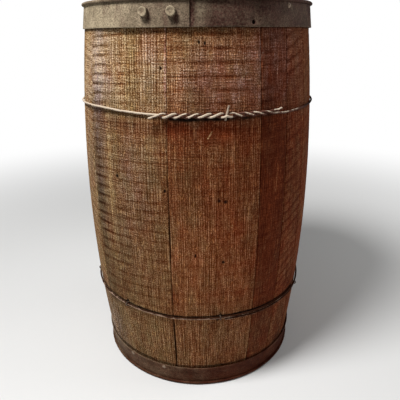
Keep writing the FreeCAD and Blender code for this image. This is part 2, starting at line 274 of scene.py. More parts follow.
def blendColour(tree, factor, a, b):
    node = tree.nodes.new("ShaderNodeMix")
    node.data_type = "RGBA"
    plug(tree, node.inputs["Factor"], factor)
    plug(tree, node.inputs[6], a)
    plug(tree, node.inputs[7], b)
    return node.outputs[2]


def vectorSum(tree, operation, a, b):
    node = tree.nodes.new("ShaderNodeVectorMath")
    node.operation = operation
    plug(tree, node.inputs[0], a)
    plug(tree, node.inputs["Scale"] if operation == "SCALE" else node.inputs[1], b)
    return node.outputs[0]


def between(tree, value, low, high, toLow=0.0, toHigh=1.0):
    node = tree.nodes.new("ShaderNodeMapRange")
    node.interpolation_type = "SMOOTHSTEP"
    plug(tree, node.inputs["Value"], value)
    plug(tree, node.inputs["From Min"], low)
    plug(tree, node.inputs["From Max"], high)
    plug(tree, node.inputs["To Min"], toLow)
    plug(tree, node.inputs["To Max"], toHigh)
    return node.outputs[0]


def placeVector(tree, stretch, along=None):
    # the place on the piece, or the one kept in a field of its own, stretched: patterns per metre
    if along:
        where = tree.nodes.new("ShaderNodeAttribute")
        where.attribute_name = along
        socket = where.outputs["Vector"]
    else:
        socket = tree.nodes.new("ShaderNodeTexCoord").outputs["Object"]
    scaled = tree.nodes.new("ShaderNodeMapping")
    tree.links.new(socket, scaled.inputs["Vector"])
    scaled.inputs["Scale"].default_value = stretch
    return scaled.outputs[0]


def grainNoise(tree, stretch, detail=3.0, roughness=0.6, along=None):
    node = tree.nodes.new("ShaderNodeTexNoise")
    tree.links.new(placeVector(tree, stretch, along), node.inputs["Vector"])
    node.inputs["Scale"].default_value = 1.0
    node.inputs["Detail"].default_value = detail
    node.inputs["Roughness"].default_value = roughness
    return node.outputs["Fac"]


def surface(tree, shader, colour, roughness, metallic=0.0, specular=0.5):
    plug(tree, shader.inputs["Base Color"], colour)
    plug(tree, shader.inputs["Roughness"], roughness)
    plug(tree, shader.inputs["Metallic"], metallic)
    plug(tree, shader.inputs["Specular IOR Level"], specular)


def roughen(tree, shader, height, distance, strength):
    node = tree.nodes.new("ShaderNodeBump")
    node.inputs["Strength"].default_value = strength
    node.inputs["Distance"].default_value = distance
    tree.links.new(height, node.inputs["Height"])
    tree.links.new(node.outputs[0], shader.inputs["Normal"])


# staves

wood = {
    "column": 0.00058,        # grid spacing across a face and along it
    "row": 0.00145,
    "arris": 0.0011,          # the worn round along each outer corner
    "seam": 0.00022,          # how far each side stands back from the joint
    "deepest": 0.0032,
    "sideSteps": 6,           # points down each side, and the spacing on the inside
    "innerColumn": 0.007,
    "scratchWidth": 0.0006,
    "ridgeDepth": 0.16,       # millimetres from here on
    "sawDepth": 0.17,
    "fuzzDepth": 0.08,
    "holeDepth": 0.9,
    "scratchDepth": 0.12,
}

# How each stave was sawn and has aged: the pitch of its saw marks (millimetres), their slant, their bow and
# how deep they are, the pitch of its grain ridges and how deep they are, how strong the lines torn across
# it are, how contrasty it is, how far its colour has gone from red-brown to grey-tan, how that drifts from
# its left side to its right, and how pale it is.
lookNames = ("pitch", "slant", "bow", "saw", "ridgePitch", "ridge", "cross",
             "contrast", "tan", "drift", "pale")
staveLooks = {
    "stave_01": (12.8, 0.01, 0.02, 0.25, 2.5, 1.05, 0.12, 1.1, 0.33, -0.14, 1),
    # stave_02's low paleness is its own darker tone, and also paints part of the shade step at its joint with
    # stave_01
    "stave_02": (11.6, -0.12, 0, 0.25, 2.7, 0.7, 0.3, 1, -0.03, 0.06, 0.64),
    "stave_03": (12, -0.35, 0, 0.6, 3, 0.6, 0.35, 1.05, 0.09, 0, 0.8),
    "stave_04": (11.5, -0.2, 0.1, 0.4, 2.8, 0.8, 0.2, 0.85, 0.16, 0.1, 0.85),
    "stave_05": (10.8, -0.05, 0.1, 0.3, 2.8, 1, 0.1, 1, 0.42, 0.1, 0.95),
    "stave_06": (12.2, 0.1, 0.12, 0.4, 3.1, 0.9, 0.15, 1, 0.62, -0.1, 1.05),
    "stave_07": (11, -0.18, 0.08, 0.3, 2.6, 1, 0.1, 0.95, 0.4, 0.08, 0.9),
    "stave_08": (12.4, 0.06, 0, 0.35, 2.9, 0.8, 0.15, 1, 0.6, 0, 1.1),
    "stave_09": (11.6, -0.08, 0.14, 0.4, 3.2, 0.9, 0.2, 1.05, 0.45, 0.12, 1),
    "stave_10": (9, 0.15, 0.1, 0.55, 2.9, 0.8, 0.3, 1.1, 0.8, 0, 1.35),
    "stave_11": (11.1, -0.065, 0, 0.6, 3.4, 0.9, 0.35, 1.1, 0.67, -0.26, 1),
}
# On two of them the marks were counted: how far they wander, the height of one, and how much closer together
# they come further up. On the others they wander more and start at the floor.
sawCounts = {
    "stave_01": {"wander": 1.2, "start": 373, "quicken": 0},
    "stave_11": {"wander": 1, "start": 260, "quicken": 0.6},
}
plainCount = {"wander": 3.0, "start": 0, "quicken": 0}

# All round, the wood above the upper wire and near the floor has greyed and roughened: how much more
# of each look, then the heights between which the change comes.
zones = [
    ("tan", 0.15, 0.335, 0.360),
    ("tan", 0.09, 0.130, 0.085),
    ("contrast", 0.20, 0.110, 0.070),
    ("saw", -0.50, 0.135, 0.095),
    ("ridge", -0.3, 0.335, 0.360),
]

# Places where a look is stronger or weaker than elsewhere on the stave, look by look: how much, the angle,
# the height, half the width and half the height
wornPlaces = {
    "saw": [
        (1.05, -48, 0.392, 0.026, 0.045), (-0.4, -22, 0.392, 0.024, 0.06), (1.15, -51, 0.245, 0.012, 0.105),
        (0.7, 10, 0.392, 0.06, 0.04),
    ],
    "ridge": [
        (1.5, -21, 0.395, 0.022, 0.05),
    ],
    "cross": [
        (0.55, -5, 0.395, 0.11, 0.055), (-0.3, -21, 0.395, 0.018, 0.05), (0.5, -40, 0.25, 0.05, 0.1),
        (0.4, 10, 0.31, 0.045, 0.02),
    ],
    "tan": [
        # the redder spots just under the upper wire, near heights 0.334 to 0.337, go with the painted shadow
        # there
        (0.2, -43, 0.279, 0.0035, 0.075), (0.08, 8, 0.395, 0.06, 0.05), (-0.1, 8, 0.3345, 0.05, 0.009),
        (-0.2, -30, 0.334, 0.05, 0.007), (0.12, -28, 0.3, 0.015, 0.042), (0.22, 34, 0.07, 0.02, 0.045),
        (0.06, 16, 0.075, 0.03, 0.05), (-0.08, 16, 0.275, 0.03, 0.06), (-0.1, 14, 0.395, 0.03, 0.045),
        (-0.07, -28, 0.07, 0.03, 0.05), (-0.2, 9, 0.328, 0.042, 0.014), (-0.1, 22, 0.365, 0.009, 0.013),
        (-0.1, -47, 0.205, 0.012, 0.022), (0.12, 33, 0.402, 0.018, 0.03), (-0.25, -8, 0.337, 0.018, 0.009),
    ],
    "grey": [
        # the narrow one at -12.8 tints the painted highlight along the stave's corner by the joint
        (1, -12.8, 0.392, 0.001, 0.05), (0.55, -51, 0.34, 0.012, 0.1), (0.6, -46, 0.395, 0.026, 0.042),
        (0.25, -28, 0.29, 0.02, 0.05), (0.6, 10, 0.38, 0.045, 0.035), (1, 35, 0.4, 0.025, 0.045),
        (0.6, -62, 0.04, 0.04, 0.06), (0.15, -32, 0.24, 0.035, 0.08), (0.35, -20, 0.4, 0.012, 0.035),
        (0.3, -63, 0.33, 0.018, 0.12), (0.5, 44, 0.39, 0.04, 0.045),
    ],
    "pale": [
        (0.5, -44, 0.4, 0.06, 0.045), (0.6, -43, 0.279, 0.003, 0.075), (-0.42, -51.5, 0.235, 0.012, 0.125),
        (0.22, -20, 0.385, 0.03, 0.06), (0.2, -8, 0.38, 0.01, 0.035), (0.1, 2, 0.4, 0.03, 0.045),
        # the darker spots just under the upper wire and its twist, near heights 0.334 to 0.338, here and
        # below, are painted shadow
        (0.22, 36, 0.39, 0.04, 0.045), (-0.14, 8, 0.3345, 0.045, 0.0075), (-0.15, -18, 0.225, 0.012, 0.05),
        (0.15, 12, 0.235, 0.015, 0.035), (0.22, 21, 0.15, 0.014, 0.03), (0.18, 38, 0.275, 0.01, 0.015),
        (0.14, 38, 0.155, 0.01, 0.02), (-0.15, -8, 0.275, 0.01, 0.02), (-0.2, -46, 0.125, 0.025, 0.018),
        (-0.15, -62, 0.08, 0.02, 0.03), (-0.25, -30, 0.336, 0.045, 0.0055),
        # the narrow one at -12.8 is a painted highlight along the stave's corner by the joint
        (1.5, -12.8, 0.392, 0.0007, 0.038), (-0.1, -36, 0.22, 0.035, 0.11), (0.2, -63, 0.4, 0.02, 0.06),
        (-0.18, 56, 0.06, 0.025, 0.07), (-0.25, 22, 0.033, 0.009, 0.008), (-0.3, 53, 0.033, 0.014, 0.009),
        (-0.18, -4, 0.033, 0.02, 0.007), (0.24, -40, 0.362, 0.011, 0.012), (0.2, -17, 0.35, 0.01, 0.008),
        (0.14, -7, 0.378, 0.008, 0.022), (-0.28, 31, 0.36, 0.009, 0.016), (0.24, 54, 0.4, 0.012, 0.024),
        (-0.18, -18, 0.331, 0.01, 0.008), (0.16, 12, 0.327, 0.009, 0.008), (-0.16, -1, 0.329, 0.01, 0.008),
        (-0.16, 54, 0.23, 0.01, 0.035), (-0.2, 54, 0.127, 0.011, 0.013), (-0.14, 0, 0.248, 0.01, 0.022),
        (-0.3, -51, 0.346, 0.01, 0.01), (-0.18, 12, 0.348, 0.024, 0.006), (-0.14, 38, 0.348, 0.012, 0.006),
        (-0.12, 53, 0.348, 0.01, 0.006), (0.22, 8, 0.185, 0.05, 0.065), (0.15, -4, 0.1, 0.02, 0.08),
        (-0.42, -9, 0.3375, 0.011, 0.0075),
    ],
    "dirt": [
        # painted shade under the top hoop near its lap (-3), painted shadow under the twist (-7, 12) and
        # under the upper wire (-30), painted shade in the spare hole (23.8), a dark band under the lower
        # wire's lap (38), and dark marks just above and below the lower wire at -39 and near 10
        (0.12, -3, 0.427, 0.022, 0.003), (0.55, -7, 0.344, 0.02, 0.0026), (1.5, 23.8, 0.4336, 0.005, 0.004),
        (0.5, 38, 0.103, 0.045, 0.0025), (0.6, 12, 0.3442, 0.034, 0.0026), (0.35, -30, 0.336, 0.06, 0.006),
        (1.9, -39, 0.1122, 0.002, 0.003), (1.7, -39.6, 0.1056, 0.0018, 0.0022),
        (0.9, 10.6, 0.1135, 0.0015, 0.004), (0.9, 9.2, 0.1048, 0.002, 0.002),
    ],
    "dark": [
        (1.1, -38.3, 0.278, 0.0026, 0.0024), (1.1, 9, 0.259, 0.0018, 0.0018),
        (1, 11.8, 0.2575, 0.0026, 0.0022), (1.5, 11.2, 0.185, 0.0016, 0.0017),
        (2.3, 0.9, 0.4162, 0.001, 0.0012), (2.3, 3.3, 0.4153, 0.001, 0.0012),
        (2.3, -14.7, 0.3927, 0.001, 0.0012), (2.3, -13.8, 0.27, 0.0011, 0.0013),
        (1.5, -1.2, 0.1947, 0.0008, 0.0022),
    ],
}

# Dark lines all round, along the wires and the hoops' edges: dirt, and painted shade in the gaps over the
# lower wire, under the upper wire, under the top hoop and over the bottom hoop: height, half height, strength
dirtAndShadeLines = [(0.1106, 0.0014, 1.10), (0.3458, 0.0020, 0.50), (0.4287, 0.0012, 0.55), (0.0292, 0.0022, 0.58)]

# Joints that have opened: angle of the joint, lowest and highest place, then the width at its widest
openJoints = [(-12.3, 0.020, 0.108, 0.0016), (-12.3, 0.185, 0.250, 0.0009), (27.5, 0.02, 0.06, 0.0005),
              (-56.0, 0.110, 0.348, 0.0008)]

# Scratches down to paler wood: from one (angle, height) to another, and how pale
scratches = [
    ((4.1, 0.3255), (6.0, 0.3325), 1.8),
    ((36.4, 0.2605), (37.0, 0.2930), 0.7),
    ((36.2, 0.3850), (36.3, 0.3930), 0.9),
    ((18.8, 0.3835), (20.4, 0.3870), 0.8),
    ((14.6, 0.2285), (14.9, 0.2300), 1.6),
    ((27.0, 0.4010), (28.4, 0.4060), 0.8),
    ((-42.0, 0.1540), (-40.5, 0.1630), 0.5),
    ((128.0, 0.1800), (131.0, 0.2050), 0.8),
    ((214.0, 0.3000), (212.0, 0.3120), 0.8),
]


def scratched(theta, z):
    # full strength on a scratch's line, falling away with the distance from it
    total = 0 * theta
    for (fromAngle, fromHeight), (toAngle, toHeight), strength in scratches:
        run = math.radians(toAngle - fromAngle) * shell["belly"]
        rise = toHeight - fromHeight
        x = np.radians(turnFrom(fromAngle, theta)) * shell["belly"]
        share = np.clip((x * run + (z - fromHeight) * rise) / (run ** 2 + rise ** 2), 0, 1)
        away = np.hypot(x - share * run, z - fromHeight - share * rise)
        total = total + strength * np.exp(-(away / wood["scratchWidth"]) ** 2)
    return total


def strengthOf(look, theta, z, start):
    strength = start
    for name, change, low, high in zones:
        if name == look:
            strength = strength + change * smoothStep(low, high, z)
    for change, *spot in wornPlaces.get(look, []):
        strength = strength + change * bump(theta, z, spot)
    return strength


def seamWidth(joint, z, seed):
    # half the gap at a joint: hairline nearly everywhere, wandering, and wide where the joint has opened
    width = wood["seam"] * (1 + 0.8 * mottle(z / 0.035, 0.5, seed))
    for angle, low, high, widest in openJoints:
        if abs(turnFrom(angle, joint)) < 1:
            middle = (low + high) / 2
            width = width + widest / 2 * np.clip(1 - ((z - middle) / (high - low) * 2) ** 2, 0, 1) ** 0.5
    return width


def sawnFace(name, theta, across, z):
    # Depth below the face, and the looks that the wood's material reads. The height of the surface is
    # grain ridges (a wave across the stave, pushed about by noise), plus saw marks (a wave along it,
    # slanted and bowed, with narrow valleys), plus torn fibres (fine noise), less holes and scratches.
    look = dict(zip(lookNames, staveLooks[name]), **sawCounts.get(name, plainCount))
    seed = 100 * int(name[-2:])
    x = across * 1000
    h = z * 1000
    width = x.max()

    def worn(feature):
        return strengthOf(feature, theta, z, look.get(feature, 0))

    grain = x + 1.0 * mottle(x / 40, h / 90, seed)
    wave = np.sin(2 * math.pi * grain / look["ridgePitch"] + 1.6 * mottle(grain / 9, h / 60, seed + 1))
    ridges = 0.6 * wave + 0.7 * mottle(grain / 1.3, h / 34, seed + 2)
    ridges = ridges * (0.75 + 0.4 * mottle(x / 22, h / 70, seed + 3)) * worn("ridge")

    sway = look["slant"] * x + look["bow"] * (x - width / 2) ** 2 / width
    sway = sway + look["wander"] * roughNoise(x / 45, h / 22, seed + 4)
    above = h - look["start"]
    turns = (above + sway) / look["pitch"] + look["quicken"] * (above / 100) ** 2
    marks = 0.55 - 2 * (0.5 + 0.5 * np.cos(2 * math.pi * turns)) ** 6
    saw = np.clip(worn("saw"), 0, None) * (0.7 + 0.6 * mottle(x / 19, h / 17, seed + 5))
    fuzz = 0.65 * mottle(x / 0.9, h / 2.6, seed + 6) + 0.5 * mottle(x / 2.2, h / 3.4, seed + 7)

    holes = worn("dark")
    scratch = scratched(theta, z)
    # dirt and painted shade: spots, and lines along the wires and hoops
    dirt = worn("dirt")
    for level, halfHeight, strength in dirtAndShadeLines:
        dirt = dirt + strength * np.exp(-((z - level) / halfHeight) ** 2)
    dirt = dirt * (1 + 0.5 * roughNoise(x / 7, h / 3, seed + 9))
    grey = np.clip(worn("grey") * (1 + 0.9 * roughNoise(x / 9, h / 14, seed + 12)), 0, 1)
    tan = worn("tan") + look["drift"] * (x / width - 0.5) + 0.10 * roughNoise(x / 22, h / 60, seed + 8)
    tan = tan + 0.08 * saw * marks * (1 - 2 * grey) + 0.6 * scratch

    height = wood["ridgeDepth"] * ridges + wood["sawDepth"] * saw * marks + wood["fuzzDepth"] * fuzz
    height = height - wood["holeDepth"] * np.clip(holes, 0, 1) - wood["scratchDepth"] * np.clip(scratch, 0, 1)
    top = wood["ridgeDepth"] + wood["sawDepth"] + wood["fuzzDepth"]
    fields = {
        "crest": np.clip(0.60 * ridges + 0.55 * saw * marks + 0.30 * fuzz, -1.6, 1.6),
        "cross": np.clip(worn("cross"), 0, 2),
        "contrast": worn("contrast") * (1 + 0.2 * roughNoise(x / 16, h / 22, seed + 11)),
        "tan": tan,
        "grey": grey,
        "pale": worn("pale") * (1 + 0.20 * roughNoise(x / 14, h / 50, seed + 10)) + scratch,
        "dark": np.maximum(holes, dirt),
        "grain": np.stack([across, z, np.full(x.shape, seed / 100.0)], -1),
    }
    return np.clip(top - height, 0, None) / 1000, fields


def staveRows():
    # evenly spaced heights, with rows on the edges of the croze grooves and of the bevels
    bevel = shell["bevel"]
    low = shell["crozeInset"] - shell["crozeWidth"] / 2
    high = shell["crozeInset"] + shell["crozeWidth"] / 2
    edges = np.array([0, 0.0006, bevel, low - 0.00002, low, high, high + 0.00002])
    rows = np.arange(wood["row"], shell["height"], wood["row"])
    rows = np.unique(np.concatenate([rows, edges, shell["height"] - edges]))
    return rows[np.insert(np.diff(rows) > 0.00001, 0, True)]


def insideRadius(z):
    # the bilged bore, a groove for each head, and a bevel at each end
    fromEnd = np.minimum(z, shell["height"] - z)
    bore = cornerRadius(z) - shell["thickness"]
    groove = np.abs(fromEnd - shell["crozeInset"]) <= shell["crozeWidth"] / 2 + 0.000001
    depth = cornerRadius(shell["crozeInset"]) - shell["thickness"] + shell["crozeDepth"]
    bevelled = np.clip(shell["bevel"] - fromEnd, 0, None)
    return np.where(groove, depth, bore + bevelled)


def roundedDrop(near, radius):
    # how far a quarter-round corner lies below its face, at a distance from the edge
    inside = np.clip(radius - near, 0, radius)
    return radius - np.sqrt(radius ** 2 - inside ** 2)


def makeStave(name):
    # Each ring of the tube is the stave's outline at one height: the face from left to right, the right
    # side, the inside from right to left, and the left side.
    left, right = spans[name]
    z = staveRows()[:, None]
    width = math.radians(right - left) * shell["belly"]
    columns = np.linspace(0, width, int(width / wood["column"]))
    edge = wood["arris"] * np.array([0.08, 0.3])
    columns = np.unique(np.concatenate([columns, edge, width - edge]))[None, :]
    leftGap = seamWidth(left, z, 7 * int(name[-2:]))
    rightGap = seamWidth(right, z, 7 * int(name[-2:]) + 3)
    corner = cornerRadius(z)
    leftEdge = left + np.degrees(leftGap / corner)
    rightEdge = right - np.degrees(rightGap / corner)
    theta = leftEdge + (rightEdge - leftEdge) * columns / width
    depth, fields = sawnFace(name, theta, *np.broadcast_arrays(columns, z))
    nearEdge = np.minimum(columns, width - columns)
    nearEnd = np.minimum(z, shell["height"] - z)
    depth = depth + roundedDrop(nearEdge, wood["arris"]) + roundedDrop(nearEnd, wood["arris"])
    outer = faceRadiusAt(name, theta, z) - np.minimum(depth, wood["deepest"])
    inner = np.broadcast_to(insideRadius(z), corner.shape)
    share = np.linspace(0, 1, wood["sideSteps"])[None, 1:-1]
    rightSide = outer[:, -1:] + (inner - outer[:, -1:]) * share
    leftSide = inner + (outer[:, :1] - inner) * share
    inward = np.linspace(0, 1, max(6, int(width / wood["innerColumn"])))[None, :]
    innerTheta = rightEdge + (leftEdge - rightEdge) * inward
    innerRadius = np.broadcast_to(inner, innerTheta.shape)
    allTheta = np.concatenate([theta, np.broadcast_to(rightEdge, rightSide.shape), innerTheta,
                               np.broadcast_to(leftEdge, leftSide.shape)], 1)
    radius = np.concatenate([outer, rightSide, innerRadius, leftSide], 1)
    hidden = allTheta.shape[1] - theta.shape[1]
    plain = {"crest": -0.3, "cross": 0.3, "contrast": 0.9, "tan": 0.5, "grey": 0.0, "pale": 0.9, "dark": 0.2}
    for look, values in fields.items():
        if look == "grain":
            away = np.stack(np.broadcast_arrays(np.linspace(width, 2 * width, hidden)[None, :], z, 0.5), -1)
        else:
            away = np.full((len(z), hidden), plain[look])
        fields[look] = np.concatenate([values, away], 1)
    return tube("sawn_" + name, place(allTheta, radius, z), fields)


woodColours = {
    "redBrown": (0.150, 0.0275, 0.0075),
    "greyTan": (0.150, 0.091, 0.036),
    "lilacGrey": (0.150, 0.104, 0.078),
    # the near-black that holes, dirt and painted shade turn to
    "dirt": (0.010, 0.005, 0.003),
    "golden": (1.05, 0.92, 0.70),
    "crest": 0.80,            # how strongly each of these changes the brightness
    "fibre": 2.3,
    "weave": 1.0,
    "speck": 2.8,
    "cross": 2.2,
    "tooth": 0.16,
    "toothPitch": 0.0028,
    "dash": 0.45,
    "patch": 0.9,             # and how strongly patches and the brightness change the hue
    "turn": 0.13,
}


def toothMarks(tree):
    # a fine wave along the grain, pushed about by noise: the prints of the saw's teeth
    split = tree.nodes.new("ShaderNodeSeparateXYZ")
    tree.links.new(placeVector(tree, (1, 1, 1), "grain"), split.inputs[0])
    push = figure(tree, "MULTIPLY", grainNoise(tree, (90, 70, 1), 2, 0.5, "grain"), 16.0)
    return figure(tree, "SINE", figure(tree, "MULTIPLY_ADD", split.outputs["Y"],
                                       2 * math.pi / woodColours["toothPitch"], push))


def woodMaterial():
    # Brightness comes from the crests of the sawn surface and from fibres, lines torn across them,
    # specks and pale dashes. Green and blue follow it faster than red does, so that hollows are redder
    # and crests more golden.
    material, tree, shader = nodeTree("agedSawnWood")
    grained = {
        "fibre": grainNoise(tree, (1000, 40, 1), 3, 0.6, "grain"),
        "weave": grainNoise(tree, (420, 420, 1), 2, 0.55, "grain"),
        "speck": grainNoise(tree, (950, 750, 1), 1, 0.5, "grain"),
    }
    cross = figure(tree, "MULTIPLY_ADD", grainNoise(tree, (48, 640, 1), 2, 0.6, "grain"),
                   woodColours["cross"], -woodColours["cross"] / 2)
    cross = figure(tree, "MULTIPLY_ADD", toothMarks(tree), woodColours["tooth"], cross)
    dash = between(tree, grainNoise(tree, (900, 100, 1), 1, 0.5, "grain"), 0.58, 0.68)
    patch = grainNoise(tree, (60, 30, 1), 3, 0.6, "grain")
    light = figure(tree, "MULTIPLY", field(tree, "crest"), woodColours["crest"])
    for name, noise in grained.items():
        strength = woodColours[name]
        change = figure(tree, "MULTIPLY_ADD", noise, strength, -strength / 2)
        if name == "speck":
            onTan = figure(tree, "MULTIPLY_ADD", field(tree, "tan"), 0.9, 0.65)
            change = figure(tree, "MULTIPLY", change, onTan)
        light = figure(tree, "ADD", light, change)
    light = figure(tree, "ADD", light, figure(tree, "MULTIPLY", cross, field(tree, "cross")))
    dashed = figure(tree, "MULTIPLY_ADD", dash, woodColours["dash"], light)
    light = figure(tree, "MULTIPLY", dashed, field(tree, "contrast"))
    light = figure(tree, "MINIMUM", figure(tree, "MAXIMUM", light, -1.6), 1.1)
    shift = figure(tree, "MULTIPLY_ADD", patch, woodColours["patch"], -woodColours["patch"] / 2)
    shift = figure(tree, "MULTIPLY_ADD", light, woodColours["turn"], shift)
    hue = figure(tree, "ADD", field(tree, "tan"), shift, clamp=True)
    weathered = blendColour(tree, field(tree, "grey"), woodColours["greyTan"], woodColours["lilacGrey"])
    base = blendColour(tree, hue, woodColours["redBrown"], weathered)
    bright = tree.nodes.new("ShaderNodeCombineXYZ")
    for socket, red, tan in zip(bright.inputs, (1, 1.45, 1.85), (1, 1.15, 1.45)):
        power = figure(tree, "MULTIPLY_ADD", hue, tan - red, red)
        plug(tree, socket, figure(tree, "EXPONENT", figure(tree, "MULTIPLY", light, power)))
    colour = vectorSum(tree, "MULTIPLY", base, bright.outputs[0])
    colour = vectorSum(tree, "SCALE", colour, field(tree, "pale"))
    colour = blendColour(tree, dash, colour, vectorSum(tree, "MULTIPLY", colour, woodColours["golden"]))
    colour = vectorSum(tree, "MINIMUM", colour, (0.72, 0.52, 0.32))
    colour = blendColour(tree, between(tree, field(tree, "dark"), 0.10, 1.0), colour, woodColours["dirt"])
    surface(tree, shader, colour, figure(tree, "MULTIPLY_ADD", light, -0.05, 0.80, clamp=True), specular=0.04)
    roughen(tree, shader, figure(tree, "ADD", figure(tree, "ADD", grained["fibre"], cross), grained["speck"]),
            0.0006, 0.6)
    return material


agedWood = woodMaterial()
for name in staveNames:
    finishPiece(makeStave(name), agedWood, [name])
print("staves made:", len(staveNames))


# chime hoops

hoopForm = {
    "width": 0.0275,
    "inset": 0.0008,
    "sheet": 0.0012,
    "fit": 0.00015,
    "bead": 0.0016,
    "beadSink": 0.0006,
    "joggle": 4.0,            # degrees over which the lap steps outwards
    "joggleGap": 2.0,
    "tongueClearance": 0.3,
    "step": 0.45,             # degrees between sections
    "waver": 0.00028,         # how far the sheet strays off its round
    "edgeWaver": 0.00030,
    "rivetRow": 0.0145,
}
lapStep = hoopForm["sheet"] + hoopForm["fit"]

# Each hoop's covered end and the end that shows, its rivets' angles, and which way round it lies: the
# bottom one is turned over, so that its angles are counted backwards. Then its colours, dark and light,
# how pale the strip is at angles along it, the shadows painted below its rivets, and its dents and scuffs:
# angle, distance from the keg's end, half width, half height, then strength or depth.
hoopLooks = {
    "top_hoop": {"lap": (-30.0, -2.8), "rivets": (-21.4, -9.9), "way": 1, "seed": 3, "shine": 0.04,
                 "dark": ((0.043, 0.018, 0.013), (0.075, 0.035, 0.026)),
                 "light": ((0.270, 0.215, 0.140), (0.370, 0.300, 0.200)),
                 # the first three points paint the shadow that the lap's end casts on the strip beside it
                 "pale": [(-3, 0), (-1.2, 0.02), (-0.4, 0.22), (3, 0.26), (7, 0.08), (30, 0.09), (150, 0.1),
                          (220, 0.4), (290, 1), (312, 1), (322, 0.88), (332, 0.66), (345, 0.56), (357, 0.30)],
                 # painted shadows that the rivets cast down the band
                 "rivetShadows": [(-19.6, 0.019, 0.003, 0.0055, 0.45), (-8.1, 0.019, 0.003, 0.0055, 0.45)],
                 "dents": [(23.8, 0.0205, 0.0040, 0.0040, 0.0010), (-45, 0.012, 0.012, 0.008, 0.0004),
                           (58, 0.016, 0.014, 0.008, 0.0005), (140, 0.014, 0.015, 0.009, 0.0006)],
                 "scuffs": [(1.5, 0.012, 0.004, 0.008, 0.5), (-50, 0.006, 0.012, 0.001, 0.5),
                            (160, 0.020, 0.008, 0.001, 0.7), (46, 0.009, 0.001, 0.003, 0.5)]},
    "bottom_hoop": {"lap": (-192.2, -165.0), "rivets": (-183.6, -172.1), "way": -1, "seed": 8, "shine": 0.02,
                    "dark": ((0.040, 0.0085, 0.0042), (0.072, 0.020, 0.0095)),
                    "light": ((0.130, 0.083, 0.046), (0.240, 0.175, 0.112)),
                    "pale": [(-165, 0.1), (-60, 0), (-12, 0), (0, 0.14), (20, 0.32), (40, 0.44), (58, 0.66),
                             (80, 0.66), (100, 0.2), (195, 0.3)],
                    # painted shadows below the rivets, as on the top hoop
                    "rivetShadows": [(-181.8, 0.019, 0.003, 0.0055, 0.25), (-170.3, 0.019, 0.003, 0.0055, 0.25)],
                    "dents": [(12, 0.010, 0.015, 0.007, 0.0004), (-60, 0.018, 0.012, 0.006, 0.0005),
                              (170, 0.015, 0.015, 0.009, 0.0006)],
                    "scuffs": [(55.6, 0.0170, 0.0008, 0.0030, 1.0), (-14.9, 0.0187, 0.0035, 0.0006, 0.9),
                               (-52, 0.0262, 0.0140, 0.0007, 0.8), (20, 0.0100, 0.0100, 0.0008, 0.4)]},
}


def bandRadius(row):
    # inside radius of the flared sheet, at a distance from the end of the staves
    low = cornerRadius(hoopForm["inset"])
    high = cornerRadius(hoopForm["width"])
    share = (row - hoopForm["inset"]) / (hoopForm["width"] - hoopForm["inset"])
    return low + (high - low) * share + hoopForm["fit"]


def hoopOutline(beaded):
    # The sheet's outline as (distance off the stave corners, distance from the keg's end): down the
    # inside, round the bead that is rolled outwards along the edge, and up the outside.
    sheet = hoopForm["sheet"]
    low = hoopForm["inset"]
    high = hoopForm["width"]
    bead = hoopForm["bead"] if beaded else 0.0002
    middle = sheet + (bead - hoopForm["beadSink"] if beaded else -bead)
    row = low + bead
    turn = np.radians(np.linspace(-90, 128, 16) if beaded else np.linspace(-90, 0, 16))
    roll = np.stack([middle + bead * np.cos(turn), row + bead * np.sin(turn)], 1)
    inside = evenly([(0, high - 0.0003), (0, low + 0.0010)], 8)
    foot = evenly([(0.0001, low + 0.0004), (0.0006, low), (middle, low)], 4)[:-1]
    last = roll[-1]
    outside = evenly([last + (0.00005, 0.00015), (sheet, last[1] + 0.0004), (sheet, high - 0.0003)], 16)
    edge = np.array([(sheet - 0.0002, high), (0.0002, high)])
    return np.concatenate([inside, foot, roll, outside, edge])


def hoopTheta(look):
    # stations from the covered end once round to the end that shows, closer together where the strip steps
    covered, shown = look["lap"]
    last = 360 + shown
    even = np.arange(covered, last, hoopForm["step"])
    start = shown + hoopForm["tongueClearance"]
    extra = [covered + 0.05, last - 0.2, last - 0.05, last, start - 0.05, start, start + 0.3, start + 0.7]
    return np.unique(np.concatenate([even, extra]))


def hoopOffset(look, theta, row):
    # how far the sheet strays outwards: slow waves round the keg, less the dents
    seed = look["seed"]
    wave = 0.5 + 0.5 * mottle(theta / 23, row / 0.03, seed) + 0.35 * mottle(theta / 7, row / 0.02, seed + 1)
    offset = hoopForm["waver"] * wave
    for angle, at, halfWidth, halfHeight, depth in look["dents"]:
        offset = offset - depth * bump(theta, row, (angle, at, halfWidth, halfHeight))
    return offset


